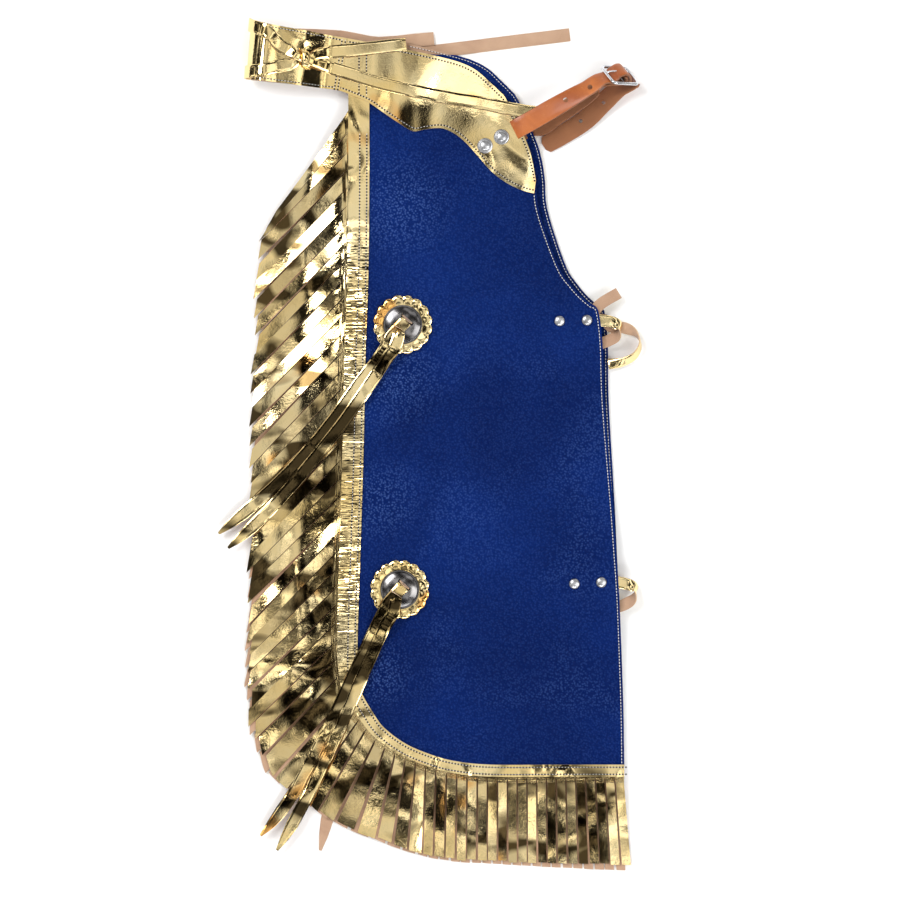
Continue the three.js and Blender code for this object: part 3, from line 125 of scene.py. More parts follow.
# v, u, lean, length, hem
FRINGE_FORM = [
    (0.905, 0.040, 0.80, 0.94, 0.0), (0.845, 0.040, 1.00, 0.96, 0.0), (0.669, 0.036, 1.00, 1.02, 0.0),
    (0.448, 0.019, 1.00, 1.00, 0.0), (0.227, 0.000, 1.03, 0.97, 0.0), (0.144, -0.003, 1.00, 0.92, 0.1),
    (0.097, 0.014, 0.94, 0.96, 0.45), (0.073, 0.052, 0.80, 0.97, 0.7), (0.051, 0.096, 0.60, 0.98, 0.85),
    (0.029, 0.177, 0.25, 1.00, 1.0), (0.014, 0.272, 0.04, 1.00, 1.0), (0.005, 0.362, 0.02, 0.98, 1.0),
    (0.000, 0.498, 0.00, 0.96, 1.0), (0.000, 0.758, -0.02, 0.99, 1.0), (0.000, 1.000, -0.11, 1.01, 1.0),
]
CONCHOS = {"upper": (0.166, 0.607), "lower": (0.155, 0.242)}
THIGHS = {"upper": [(0.755, 0.612), (0.858, 0.613)], "lower": [(0.811, 0.250), (0.912, 0.252)]}
STRAP_RIVETS = [(0.475, 0.853), (0.537, 0.865)]
STRAP_SLIT = (0.580, 0.8735)
# u, v, height, radius
WAVES = [
    (0.300, 0.745, 1.6, 0.22), (0.560, 0.500, 1.2, 0.34),
    (0.330, 0.110, 1.4, 0.30), (0.700, 0.130, 1.0, 0.30),
]
# radius of the hills that the hardware raises in the leather
CONCHO_HILL = 0.50 * LEG_WIDTH
THIGH_HILL = 0.48 * LEG_WIDTH
STRAP_HILL = 0.46 * LEG_WIDTH

FOIL_STEP = FOIL + GAP
BAND_STEP = FOIL + BAND_SEAT
LACE_STEP = LACE + GAP
CONCHO_STACK = FOIL_STEP + CONCHO_HEIGHT + 2 * LACE_STEP + 3 * SEAT_GAP
RIVET_STACK = RIVET_HEIGHT + 2 * GAP
WAIST_STACK = 2 * FOIL_STEP + BAND_STEP + LACE_STEP + GAP
THIGH_STACK = 3 * LACE_STEP + 2 * (RIVET_WASHER_METAL + INNER_GAP)
STRAP_STACK = 2 * (STRAP + RIVET_WASHER_METAL + GAP + INNER_GAP)
NEAR, FAR = "near", "far"
OUT = {NEAR: 1.0, FAR: -1.0}
TWIST = {NEAR: 0.0, FAR: -math.radians(FOLD_TWIST)}


# Shape rules
def mix(a, b, t):
    return a + (b - a) * t


def ease(t):
    t = np.clip(t, 0.0, 1.0)
    return t * t * (3 - 2 * t)


def on_leg(uv):
    return np.array([uv[0] * LEG_WIDTH, uv[1] * LEG_LENGTH])


PIVOT = on_leg((0.909, 0.227))


def turned(x, y, angle):
    c, s = math.cos(angle), math.sin(angle)
    dx, dy = x - PIVOT[0], y - PIVOT[1]
    return PIVOT[0] + dx * c - dy * s, PIVOT[1] + dx * s + dy * c


def hill(x, y, centre, height, radius):
    share = np.clip(np.hypot(x - centre[0], y - centre[1]) / radius, 0, 1)
    return height * (1 + np.cos(np.pi * share)) / 2


def thigh_middle(pair):
    return mix(on_leg(pair[0]), on_leg(pair[1]), 0.7)


def far_rest(x):
    return LACE_STEP * (1 - ease((x / LEG_WIDTH - 0.15) / 0.25))


def far_base(x, y):
    """Height of the far leg's outer face above the floor."""
    px, py = turned(x, y, -TWIST[FAR])
    height = BAND_STEP + far_rest(x)
    for at in CONCHOS.values():
        height = height + hill(px, py, on_leg(at), CONCHO_STACK - BAND_STEP - LACE_STEP, CONCHO_HILL)
    for pair in THIGHS.values():
        height = height + hill(px, py, thigh_middle(pair), RIVET_STACK - FOIL_STEP + GAP, THIGH_HILL)
    waist = (py / LEG_LENGTH - 0.72) / 0.20
    return height + (WAIST_STACK - BAND_STEP - LACE_STEP) * ease(waist)


def near_base(x, y):
    """Height of the near leg's outer face above the floor."""
    height = far_base(x, y) + 2 * LEG_LEATHER + LEG_GAP
    for pair in THIGHS.values():
        height = height + hill(x, y, thigh_middle(pair), THIGH_STACK, THIGH_HILL)
    height = height + hill(x, y, on_leg(STRAP_RIVETS[1]), STRAP_STACK, STRAP_HILL)
    for u, v, high, radius in WAVES:
        height = height + hill(x, y, on_leg((u, v)), high, radius * LEG_WIDTH)
    return height


def base(side, x, y):
    return near_base(x, y) if side == NEAR else far_base(x, y)


def layer(side, x, y, k):
    """A point of a leg, k outward from the outer face of its panel."""
    x, y = turned(np.asarray(x, float), np.asarray(y, float), TWIST[side])
    return np.stack(np.broadcast_arrays(x, y, base(side, x, y) + OUT[side] * k), axis=-1)


class Path:
    """Smooth path through points, walked by its share of length."""

    def __init__(self, points, steps=24):
        p = np.asarray(points, float)
        n = len(p)
        rows = []
        for i in range(n - 1):
            p0, p1, p2, p3 = p[max(i - 1, 0)], p[i], p[i + 1], p[min(i + 2, n - 1)]
            a, b = (p2 - p0) / 2, (p3 - p1) / 2
            cubic, square = 2 * p1 - 2 * p2 + a + b, 3 * p2 - 3 * p1 - 2 * a - b
            for t in np.arange(steps) / steps:
                rows.append(cubic * t ** 3 + square * t ** 2 + a * t + p1)
        rows.append(p[-1])
        self.points = np.array(rows)
        self.run = np.concatenate([[0], np.cumsum(np.linalg.norm(np.diff(self.points, axis=0), axis=1))])
        self.length = self.run[-1]

    def at(self, share):
        s = np.clip(np.asarray(share, float), 0, 1) * self.length
        return np.stack([np.interp(s, self.run, column) for column in self.points.T], axis=-1)

    def way(self, share):
        step = 0.002
        d = self.at(np.clip(share + step, 0, 1)) - self.at(np.clip(share - step, 0, 1))
        return d / np.linalg.norm(d, axis=-1, keepdims=True)


band_edge = Path([on_leg(p) for p in BAND_EDGE])
BAND_STEPS = 160
band_shares = np.linspace(0, 1, BAND_STEPS + 1)
band_points = band_edge.at(band_shares)
front_path = Path([on_leg(p) for p in FRONT_EDGE])


def front_x(y):
    order = np.argsort(front_path.points[:, 1])
    return np.interp(y, front_path.points[order, 1], front_path.points[order, 0])


YOKE_STEP_START = 3.0
YOKE_STEP_RUN = 26.0


def yoke_lift(x):
    """How far the yoke is raised where it lies on the fringe's band."""
    return BAND_STEP * ease(1 - (x - band_points[0][0] - YOKE_STEP_START) / YOKE_STEP_RUN)


def outward(side, x, y):
    """Outward direction of a leg's surface."""
    slope_x = base(side, x + 2, y) - base(side, x - 2, y)
    slope_y = base(side, x, y + 2) - base(side, x, y - 2)
    n = np.array([-slope_x, -slope_y, 4.0]) * OUT[side]
    return n / np.linalg.norm(n)


# Shader groups
def new_group(name, inputs, outputs):
    tree = bpy.data.node_groups.new(name, "ShaderNodeTree")
    for label, kind, value in inputs:
        socket = tree.interface.new_socket(name=label, in_out="INPUT", socket_type=kind)
        if value is not None:
            socket.default_value = value
    for label, kind in outputs:
        tree.interface.new_socket(name=label, in_out="OUTPUT", socket_type=kind)
    return tree, tree.nodes.new("NodeGroupInput"), tree.nodes.new("NodeGroupOutput")


def node(tree, kind, values=None, **settings):
    made = tree.nodes.new(kind)
    for key, value in settings.items():
        setattr(made, key, value)
    for key, value in (values or {}).items():
        made.inputs[key].default_value = value
    return made


def maths(tree, operation, a, b, clamp=False):
    made = node(tree, "ShaderNodeMath", operation=operation, use_clamp=clamp)
    for socket, value in zip(made.inputs, (a, b)):
        if isinstance(value, (int, float)):
            socket.default_value = value
        else:
            tree.links.new(value, socket)
    return made.outputs[0]


def scaled(tree, vector, scale):
    made = node(tree, "ShaderNodeVectorMath", operation="SCALE")
    tree.links.new(vector, made.inputs[0])
    if isinstance(scale, (int, float)):
        made.inputs["Scale"].default_value = scale
    else:
        tree.links.new(scale, made.inputs["Scale"])
    return made.outputs[0]


def noise(tree, vector, scale, detail=3.0, rough=0.5, distortion=0.0):
    made = node(tree, "ShaderNodeTexNoise", {"Detail": detail, "Roughness": rough, "Distortion": distortion})
    if isinstance(scale, (int, float)):
        made.inputs["Scale"].default_value = scale
    else:
        tree.links.new(scale, made.inputs["Scale"])
    tree.links.new(vector, made.inputs["Vector"])
    return made.outputs["Fac"]


def ramp(tree, value, low, high):
    made = node(tree, "ShaderNodeMapRange", {"From Min": low, "From Max": high})
    tree.links.new(value, made.inputs["Value"])
    return made.outputs["Result"]


def pebble_group():
    """Pebbled grain: rounded cells with a fine noise on them."""
    tree, given, result = new_group(
        "pebble_grain", [("Vector", "NodeSocketVector", None), ("Scale", "NodeSocketFloat", 900.0)],
        [("Height", "NodeSocketFloat"), ("Mask", "NodeSocketFloat")])
    cells = node(tree, "ShaderNodeTexVoronoi", {"Smoothness": 0.35, "Randomness": 1.0}, feature="SMOOTH_F1")
    tree.links.new(given.outputs["Vector"], cells.inputs["Vector"])
    tree.links.new(given.outputs["Scale"], cells.inputs["Scale"])
    fine = noise(tree, given.outputs["Vector"], 2600.0, 2.0)
    height = maths(tree, "SUBTRACT", maths(tree, "MULTIPLY", fine, 0.35), cells.outputs["Distance"])
    tree.links.new(height, result.inputs["Height"])
    tree.links.new(ramp(tree, cells.outputs["Distance"], 0.2, 0.75), result.inputs["Mask"])
    return tree


def crease_group():
    """Soft creases and dimples of foil on leather, at two sizes."""
    tree, given, result = new_group(
        "foil_creases",
        [("Vector", "NodeSocketVector", None), ("Coarse Scale", "NodeSocketFloat", 38.0),
         ("Fine Scale", "NodeSocketFloat", 240.0), ("Fine Share", "NodeSocketFloat", 0.16)],
        [("Height", "NodeSocketFloat"), ("Mask", "NodeSocketFloat")])
    coarse = noise(tree, given.outputs["Vector"], given.outputs["Coarse Scale"], 1.0, 0.40, 0.7)
    fine = noise(tree, given.outputs["Vector"], given.outputs["Fine Scale"], 3.0, 0.6, 0.4)
    share = maths(tree, "MULTIPLY", fine, given.outputs["Fine Share"])
    tree.links.new(maths(tree, "ADD", coarse, share), result.inputs["Height"])
    tree.links.new(ramp(tree, coarse, 0.36, 0.66), result.inputs["Mask"])
    return tree


def tone_group():
    """Slow drift of tone over a hide, with small scuffs."""
    tree, given, result = new_group(
        "hide_tone", [("Vector", "NodeSocketVector", None), ("Scale", "NodeSocketFloat", 14.0)],
        [("Drift", "NodeSocketFloat"), ("Scuffs", "NodeSocketFloat")])
    slow = noise(tree, given.outputs["Vector"], given.outputs["Scale"], 4.0, 0.55, 0.6)
    tree.links.new(ramp(tree, slow, 0.32, 0.68), result.inputs["Drift"])
    small = noise(tree, given.outputs["Vector"], 420.0, 5.0, 0.7, 1.2)
    tree.links.new(ramp(tree, small, 0.60, 0.72), result.inputs["Scuffs"])
    return tree


PEBBLE = pebble_group()
CREASES = crease_group()
TONE = tone_group()


class Finish:
    """A material being put together: colour, roughness and relief."""

    def __init__(self, name, **plain):
        self.material = bpy.data.materials.new(name)
        self.material.use_nodes = True
        self.tree = self.material.node_tree
        self.shader = self.tree.nodes["Principled BSDF"]
        self.where = node(self.tree, "ShaderNodeTexCoord").outputs["Object"]
        for key, value in plain.items():
            self.shader.inputs[key.replace("_", " ")].default_value = value

    def group(self, tree, **values):
        made = self.tree.nodes.new("ShaderNodeGroup")
        made.node_tree = tree
        self.tree.links.new(self.where, made.inputs["Vector"])
        for key, value in values.items():
            made.inputs[key.replace("_", " ")].default_value = value
        return made.outputs

    def blend(self, share, low, high):
        made = node(self.tree, "ShaderNodeMix", data_type="RGBA")
        self.tree.links.new(share, made.inputs["Factor"])
        for index, value in ((6, low), (7, high)):
            if isinstance(value, tuple):
                made.inputs[index].default_value = (*value, 1.0)
            else:
                self.tree.links.new(value, made.inputs[index])
        return made.outputs[2]

    def colour(self, value):
        self.tree.links.new(value, self.shader.inputs["Base Color"])

    def roughness(self, value, low, high):
        made = node(self.tree, "ShaderNodeMapRange", {"To Min": low, "To Max": high})
        self.tree.links.new(value, made.inputs["Value"])
        self.tree.links.new(made.outputs["Result"], self.shader.inputs["Roughness"])

    def bump(self, height, distance, strength=1.0, under=None):
        made = node(self.tree, "ShaderNodeBump", {"Distance": distance, "Strength": strength})
        self.tree.links.new(height, made.inputs["Height"])
        if under is not None:
            self.tree.links.new(under, made.inputs["Normal"])
        return made.outputs["Normal"]

    def relief(self, height, distance, strength=1.0, under=None):
        self.tree.links.new(self.bump(height, distance, strength, under), self.shader.inputs["Normal"])


# pale patches painted on the blue leather where the photo shows a shine: x and y, reach, m
SHINE = [
    ((-0.034, 0.062), 0.052), ((-0.048, -0.056), 0.045), ((-0.030, 0.236), 0.060), ((-0.052, -0.232), 0.040),
]
SHINE_HEIGHT = 0.02


def blue_leather():
    f = Finish("blue_pebbled_leather", IOR=1.5, Specular_IOR_Level=0.035)
    grain = f.group(PEBBLE, Scale=450.0)
    tone = f.group(TONE, Scale=9.0)
    apart = node(f.tree, "ShaderNodeSeparateXYZ")
    f.tree.links.new(f.where, apart.inputs[0])
    # painted shade: the blue is painted darker towards the hem and paler towards the waist
    rise = ramp(f.tree, apart.outputs["Y"], -0.38, 0.30)
    low = f.blend(tone["Drift"], (0.0008, 0.0105, 0.085), (0.0014, 0.0170, 0.135))
    high = f.blend(tone["Drift"], (0.0018, 0.0190, 0.140), (0.0050, 0.0290, 0.195))
    deep = f.blend(rise, low, high)
    cloud = ramp(f.tree, noise(f.tree, f.where, 7.0, 2.0, 0.5, 0.5), 0.34, 0.62)
    shaded = f.blend(cloud, (0.0010, 0.0115, 0.092), deep)
    # painted shade: the pits between the grain's cells are painted darker
    pit_shade = maths(f.tree, "MULTIPLY", grain["Mask"], 0.32)
    lit = f.blend(pit_shade, shaded, (0.0005, 0.0040, 0.040))
    # painted highlight: the tops of the grain are painted paler in soft patches
    drifting = ramp(f.tree, noise(f.tree, f.where, 10.0, 2.0, 0.5, 0.4), 0.50, 0.68)
    patch = maths(f.tree, "MULTIPLY", drifting, 0.30)
    for at, reach in SHINE:
        away = node(f.tree, "ShaderNodeVectorMath", {1: (*at, SHINE_HEIGHT)}, operation="DISTANCE")
        f.tree.links.new(f.where, away.inputs[0])
        patch = maths(f.tree, "ADD", patch, ramp(f.tree, away.outputs["Value"], reach, 0.0))
    tops = maths(f.tree, "SUBTRACT", 0.62, grain["Mask"], clamp=True)
    share = maths(f.tree, "ADD", maths(f.tree, "MULTIPLY", patch, 0.72), 0.12)
    f.colour(f.blend(maths(f.tree, "MULTIPLY", tops, share), lit, (0.075, 0.150, 0.420)))
    f.roughness(tone["Drift"], 0.27, 0.36)
    waves = f.bump(noise(f.tree, f.where, 45.0, 2.0, 0.4, 0.3), 0.0022)
    f.relief(grain["Height"], 0.0010, 1.0, waves)
    return f.material


PATCH_SLANT = math.radians(45)


def gold_foil(name, coarse, depth, wrinkles=0.0, dark_reflection_range=None, strips=False):
    """Mirror-like gold foil: painted pale patches, painted reflections in warm and dark patches, soft
    creases, a fine grain.
    """
    f = Finish(name, Metallic=1.0)
    if strips:
        # each strip takes its painted patches from a place of its own
        run = node(f.tree, "ShaderNodeUVMap", uv_map="run").outputs["UV"]
        apart = node(f.tree, "ShaderNodeSeparateXYZ")
        f.tree.links.new(run, apart.inputs[0])
        number = maths(f.tree, "FLOOR", maths(f.tree, "MULTIPLY", apart.outputs["X"], 0.5), 0.0)
        draw = node(f.tree, "ShaderNodeTexWhiteNoise", noise_dimensions="1D")
        f.tree.links.new(number, draw.inputs["W"])
        moved = node(f.tree, "ShaderNodeVectorMath", operation="ADD")
        f.tree.links.new(f.where, moved.inputs[0])
        f.tree.links.new(scaled(f.tree, draw.outputs["Color"], 0.028), moved.inputs[1])
        f.where = moved.outputs[0]
    crease = f.group(CREASES, Coarse_Scale=coarse, Fine_Scale=300.0, Fine_Share=0.012)
    tone = f.group(TONE, Scale=13.0)
    place = node(f.tree, "ShaderNodeSeparateXYZ")
    f.tree.links.new(f.where, place.inputs[0])
    height = place.outputs["Y"]
    pale = f.blend(tone["Drift"], (0.90, 0.66, 0.27), (0.96, 0.80, 0.46))
    # painted reflection: orange patches, as if the foil mirrored warm-coloured surroundings
    warm = ramp(f.tree, noise(f.tree, f.where, 21.0, 1.0), 0.64, 0.73)
    shine = f.blend(warm, pale, (0.84, 0.45, 0.13))
    if dark_reflection_range:
        # slanting patches painted dark, as if the foil mirrored the dark side of a room
        turned_patches = {"Rotation": (0.0, 0.0, PATCH_SLANT), "Scale": (0.7, 1.5, 1.0)}
        slant = node(f.tree, "ShaderNodeMapping", turned_patches)
        f.tree.links.new(f.where, slant.inputs["Vector"])
        spots = noise(f.tree, slant.outputs["Vector"], 21.0, 1.5, 0.5, 0.5)
        # fewer of them near the waist and near the hem, as in the photo
        high = maths(f.tree, "MULTIPLY", ramp(f.tree, height, 0.02, 0.18), 0.085)
        low = maths(f.tree, "MULTIPLY", ramp(f.tree, height, -0.13, -0.25), 0.085)
        lit = ramp(f.tree, maths(f.tree, "ADD", spots, maths(f.tree, "ADD", high, low)), *dark_reflection_range)
        shine = f.blend(lit, (0.060, 0.042, 0.018), shine)
    if strips:
        # painted reflection: each strip is also painted darker by a random share of its own, as if it
        # mirrored a darker part of the room
        shine = f.blend(maths(f.tree, "MULTIPLY", draw.outputs["Value"], 0.38), shine, (0.16, 0.10, 0.035))
    f.colour(shine)
    f.roughness(tone["Scuffs"], 0.06, 0.15)
    grain = f.group(PEBBLE, Scale=820.0)
    waves = f.bump(crease["Height"], depth)
    if wrinkles:
        pulled = node(f.tree, "ShaderNodeMapping", {"Scale": (0.15, 1.0, 0.15)})
        f.tree.links.new(f.where, pulled.inputs["Vector"])
        # gathered along the thigh, smooth at the waist and the hem
        below_waist = ramp(f.tree, height, 0.21, 0.16)
        above_hem = ramp(f.tree, height, -0.25, -0.16)
        gathered = maths(f.tree, "MULTIPLY", below_waist, above_hem)
        lines = maths(f.tree, "MULTIPLY", noise(f.tree, pulled.outputs["Vector"], 190.0, 2.0), gathered)
        waves = f.bump(lines, wrinkles, under=waves)
    f.relief(grain["Height"], 0.00002, 0.7, waves)
    return f.material


def suede(name, low, high, fluff=0.25):
    f = Finish(name, Sheen_Weight=fluff, Sheen_Roughness=0.5)
    tone = f.group(TONE, Scale=30.0)
    fuzz = noise(f.tree, f.where, 950.0, 4.0, 0.8)
    f.colour(f.blend(fuzz, f.blend(tone["Drift"], low, high), high))
    f.roughness(tone["Drift"], 0.86, 0.97)
    f.relief(fuzz, 0.0003, 0.7)
    return f.material


def oiled_leather():
    f = Finish("oiled_tan_leather", Coat_Weight=0.15, Coat_Roughness=0.3)
    tone = f.group(TONE, Scale=26.0)
    grain = f.group(PEBBLE, Scale=1300.0)
    flat = f.blend(tone["Drift"], (0.34, 0.078, 0.012), (0.56, 0.160, 0.026))
    worn = f.blend(tone["Scuffs"], flat, (0.60, 0.27, 0.09))
    run = node(f.tree, "ShaderNodeUVMap", uv_map="run").outputs["UV"]
    apart = node(f.tree, "ShaderNodeSeparateXYZ")
    f.tree.links.new(run, apart.inputs[0])
    middle = maths(f.tree, "ABSOLUTE", maths(f.tree, "SUBTRACT", apart.outputs["X"], 0.5), 0.0)
    edge = ramp(f.tree, middle, 0.40, 0.50)
    f.colour(f.blend(edge, worn, (0.13, 0.040, 0.012)))
    f.roughness(tone["Drift"], 0.34, 0.50)
    f.relief(grain["Height"], 0.00012, 0.7)
    return f.material


def metal(name, low, high, rough, brushed=0.00002):
    f = Finish(name, Metallic=1.0)
    tone = f.group(TONE, Scale=60.0)
    f.colour(f.blend(tone["Drift"], low, high))
    f.roughness(tone["Scuffs"], rough, rough + 0.12)
    f.relief(noise(f.tree, f.where, 700.0, 3.0), brushed, 0.6)
    return f.material


def thread():
    f = Finish("white_thread")
    twist = node(f.tree, "ShaderNodeTexWave", {"Scale": 420.0, "Distortion": 0.6}, bands_direction="DIAGONAL")
    f.tree.links.new(f.where, twist.inputs["Vector"])
    f.colour(f.blend(twist.outputs["Fac"], (0.66, 0.64, 0.60), (0.93, 0.92, 0.90)))
    f.roughness(twist.outputs["Fac"], 0.5, 0.7)
    f.relief(twist.outputs["Fac"], 0.0002, 0.6)
    return f.material


BLUE = blue_leather()
FRINGE_FOIL = gold_foil("gold_foil_fringe", 13.0, 0.0080, dark_reflection_range=(0.45, 0.54), strips=True)
BAND_FOIL = gold_foil("gold_foil_band", 21.0, 0.0045, 0.0026, (0.30, 0.42))
YOKE_FOIL = gold_foil("gold_foil_yoke", 14.0, 0.0046)
LACE_FOIL = gold_foil("gold_foil_lace", 14.0, 0.0040)
TIE_FOIL = gold_foil("gold_foil_tie", 18.0, 0.0060, dark_reflection_range=(0.47, 0.57))
ROSETTE_FOIL = gold_foil("gold_foil_rosette", 26.0, 0.0022)
FLESH = suede("suede_flesh_side", (0.33, 0.185, 0.110), (0.50, 0.325, 0.215))
CORE = suede("cut_leather_edge", (0.46, 0.27, 0.13), (0.66, 0.47, 0.30))
BLUE_EDGE = suede("blue_cut_edge", (0.20, 0.21, 0.30), (0.55, 0.54, 0.55))
TAN = oiled_leather()
TAN_FLESH = suede("strap_flesh_side", (0.165, 0.060, 0.022), (0.31, 0.125, 0.052))
CHROME = metal("polished_chrome", (0.62, 0.63, 0.66), (0.84, 0.85, 0.87), 0.12, 0.000002)
NICKEL = metal("dull_nickel", (0.36, 0.36, 0.37), (0.60, 0.60, 0.61), 0.30, 0.000002)
SILVER = metal("dark_silver", (0.085, 0.084, 0.086), (0.21, 0.20, 0.195), 0.16, 0.000002)
THREAD = thread()
# painted shade: near-black stands for the shade inside the stitch holes
STITCH_HOLE_SHADE = suede("thread_hole_shade", (0.006, 0.005, 0.004), (0.020, 0.015, 0.012), 0.0)
FRINGE_LOOKS = [FRINGE_FOIL, FLESH, CORE, BAND_FOIL]
FOIL_LOOKS = [YOKE_FOIL, FLESH, CORE]
LACE_LOOKS = [LACE_FOIL, FLESH, CORE]
TIE_LOOKS = [TIE_FOIL, FLESH, CORE]
ROSETTE_LOOKS = [ROSETTE_FOIL, FLESH, CORE]


# Meshes
def finished(name, mesh, slot, *nodes):
    """Puts a piece in the scene: it rides on the part and stands for its CAD nodes."""
    made = bpy.data.objects.new(name, mesh)
    bpy.context.scene.collection.objects.link(made)
    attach(made, "root")
    if nodes:
        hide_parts(*nodes)
    return made


def closed_mesh(name, points, faces, marks, looks, uv=None, sharp=38.0):
    """Mesh in metres from points in mm, its faces outwards. Marks None gives them all the first look."""
    points = np.asarray(points, float)
    volume = 0.0
    for face in faces:
        a = points[face[0]]
        for i in range(2, len(face)):
            volume += float(np.dot(a, np.cross(points[face[i - 1]], points[face[i]])))
    if volume < 0:
        faces = [face[::-1] for face in faces]
    mesh = bpy.data.meshes.new(name)
    mesh.from_pydata(((points + SHIFT) * MM).tolist(), [], faces)
    for look in looks:
        mesh.materials.append(look)
    if marks:
        mesh.polygons.foreach_set("material_index", marks)
    if uv is not None:
        layer_uv = mesh.uv_layers.new(name="run")
        order = np.empty(len(mesh.loops), dtype=np.int32)
        mesh.loops.foreach_get("vertex_index", order)
        layer_uv.data.foreach_set("uv", np.asarray(uv, float)[order].ravel())
    mesh.shade_smooth()
    mesh.set_sharp_from_angle(angle=math.radians(sharp))
    mesh.update()
    return mesh


def shell(name, outer, inner, looks, sharp=38.0):
    """Closed sheet from two grids of points: outer face, inner face and cut edge."""
    n, m = outer.shape[:2]
    points = np.concatenate([outer.reshape(-1, 3), inner.reshape(-1, 3)])
    half = n * m
    faces, marks = [], []
    for i in range(n - 1):
        for j in range(m - 1):
            a, b, c, d = i * m + j, (i + 1) * m + j, (i + 1) * m + j + 1, i * m + j + 1
            faces.append((a, b, c, d))
            marks.append(0)
            faces.append((a + half, d + half, c + half, b + half))
            marks.append(1)
    rim = [(i * m, (i + 1) * m) for i in range(n - 1)]
    rim += [((n - 1) * m + j, (n - 1) * m + j + 1) for j in range(m - 1)]
    rim += [((i + 1) * m + m - 1, i * m + m - 1) for i in range(n - 1)]
    rim += [(j + 1, j) for j in range(m - 1)]
    for a, b in rim:
        faces.append((b, a, a + half, b + half))
        marks.append(2)
    run = np.concatenate([[0], np.cumsum(np.linalg.norm(np.diff(outer[:, m // 2], axis=0), axis=1))]) * MM
    grid = np.stack(np.meshgrid(np.linspace(0, 1, m), run), axis=-1).reshape(-1, 2)
    return closed_mesh(name, points, faces, marks, looks, np.concatenate([grid, grid]), sharp)


def flowing(stations, steps):
    """Stations (point, normal, width) joined by one smooth curve."""
    at = np.array([s[0] for s in stations], float)
    normal = np.array([s[1] for s in stations], float)
    width = np.array([s[2] for s in stations], float)
    gap = np.maximum(np.linalg.norm(np.diff(at, axis=0), axis=1), 1e-6)
    slope = np.diff(at, axis=0) / gap[:, None]
    way = np.empty_like(at)
    way[0], way[-1] = slope[0], slope[-1]
    for i in range(1, len(at) - 1):
        way[i] = (slope[i - 1] * gap[i] + slope[i] * gap[i - 1]) / (gap[i - 1] + gap[i])
        # heights never swing past their stations
        before, after = slope[i - 1][2], slope[i][2]
        way[i][2] = 0.0 if before * after <= 0 else 2 * before * after / (before + after)
    rows = []
    for i in range(len(at) - 1):
        for k in range(steps + (i == len(at) - 2)):
            t = k / steps
            a, b = way[i] * gap[i], way[i + 1] * gap[i]
            p = ((2 * t ** 3 - 3 * t ** 2 + 1) * at[i] + (t ** 3 - 2 * t ** 2 + t) * a
                 + (3 * t ** 2 - 2 * t ** 3) * at[i + 1] + (t ** 3 - t ** 2) * b)
            n = mix(normal[i], normal[i + 1], t)
            rows.append((p, n / np.linalg.norm(n), mix(width[i], width[i + 1], t)))
    return rows


FLOOR_GAP = 0.05


def ribbon(name, stations, thickness, looks, steps=6):
    """Flat leather strip along stations, with softly rounded edges."""
    rows = flowing(stations, steps)
    at = np.array([r[0] for r in rows])
    normal = np.array([r[1] for r in rows])
    width = np.array([r[2] for r in rows])
    along = np.gradient(at, axis=0)
    along /= np.linalg.norm(along, axis=1, keepdims=True)
    across = np.cross(normal, along)
    across /= np.linalg.norm(across, axis=1, keepdims=True)
    square = np.cross(along, across)
    columns = np.array([-0.5, -0.455, -0.25, 0.0, 0.25, 0.455, 0.5])
    body = np.array([0.62, 0.97, 1.0, 1.0, 1.0, 0.97, 0.62])
    outer = np.empty((len(rows), len(columns), 3))
    inner = np.empty_like(outer)
    for j, (c, b) in enumerate(zip(columns, body)):
        edge = at + across * (c * width)[:, None]
        outer[:, j] = edge + square * (b * thickness / 2)
        inner[:, j] = edge - square * (b * thickness / 2)
    # nothing sinks into the floor
    lack = np.maximum(0.0, FLOOR_GAP - np.minimum(outer[..., 2], inner[..., 2]))
    outer[..., 2] += lack
    inner[..., 2] += lack
    return shell(name, outer, inner, looks)


# Leg panels
def soft_relief(x, y):
    """Low waves that the hide keeps, mm."""
    ridge = 0.9 * np.exp(-((x - 78) / 7.0) ** 2) * ease((y - 470) / 40) * ease((615 - y) / 40)
    low = 0.28 * np.sin(x / 23.0 + y / 61.0) * np.sin(y / 37.0 - x / 80.0)
    hem = 0.25 * np.sin(x / 12.0) * ease((90 - y) / 60)
    return ridge + low + hem


def panel_back(y):
    along = np.gradient(band_points, axis=0)
    out = np.stack([along[:, 1], -along[:, 0]], axis=1)
    lap = band_points + out / np.linalg.norm(out, axis=1, keepdims=True) * BAND_LAP
    order = np.argsort(lap[:, 1])
    return np.interp(y, lap[order, 1], lap[order, 0])


PANEL_TOP = 0.975 * LEG_LENGTH
PANEL_COLUMNS = 60


def panel(side):
    rows = np.concatenate([np.linspace(-(BAND_LAP - GAP), 8, 6)[:-1], np.linspace(8, PANEL_TOP, 170)])
    grid_x, grid_y = [], []
    for y in rows:
        front = float(front_x(max(y, 0)))
        back = min(float(panel_back(y)), front - 1)
        grid_x.append(mix(back, front, np.linspace(0, 1, PANEL_COLUMNS)))
        grid_y.append(np.full(PANEL_COLUMNS, y))
    x, y = np.array(grid_x), np.array(grid_y)
    outer, inner = layer(side, x, y, 0), layer(side, x, y, -LEG_LEATHER)
    if side == NEAR:
        wave = soft_relief(x, y) * ease((x - np.min(x, axis=1, keepdims=True)) / 30)
        outer[..., 2] += wave
        inner[..., 2] += wave
    return shell(f"{side}_leg_leather", outer, inner, [BLUE, BLUE, BLUE_EDGE])


for side in (NEAR, FAR):
    leg = finished(f"{side}_leg_leather", panel(side), "blue", f"{side}_leg_panel")


# Fringe
form = np.array(FRINGE_FORM)
form_s = []
for v, u in form[:, :2]:
    form_s.append(np.argmin(np.linalg.norm(band_points - on_leg((u, v)), axis=1)) / BAND_STEPS)
form_s = np.array(form_s)
form_s[-1] = 1.0


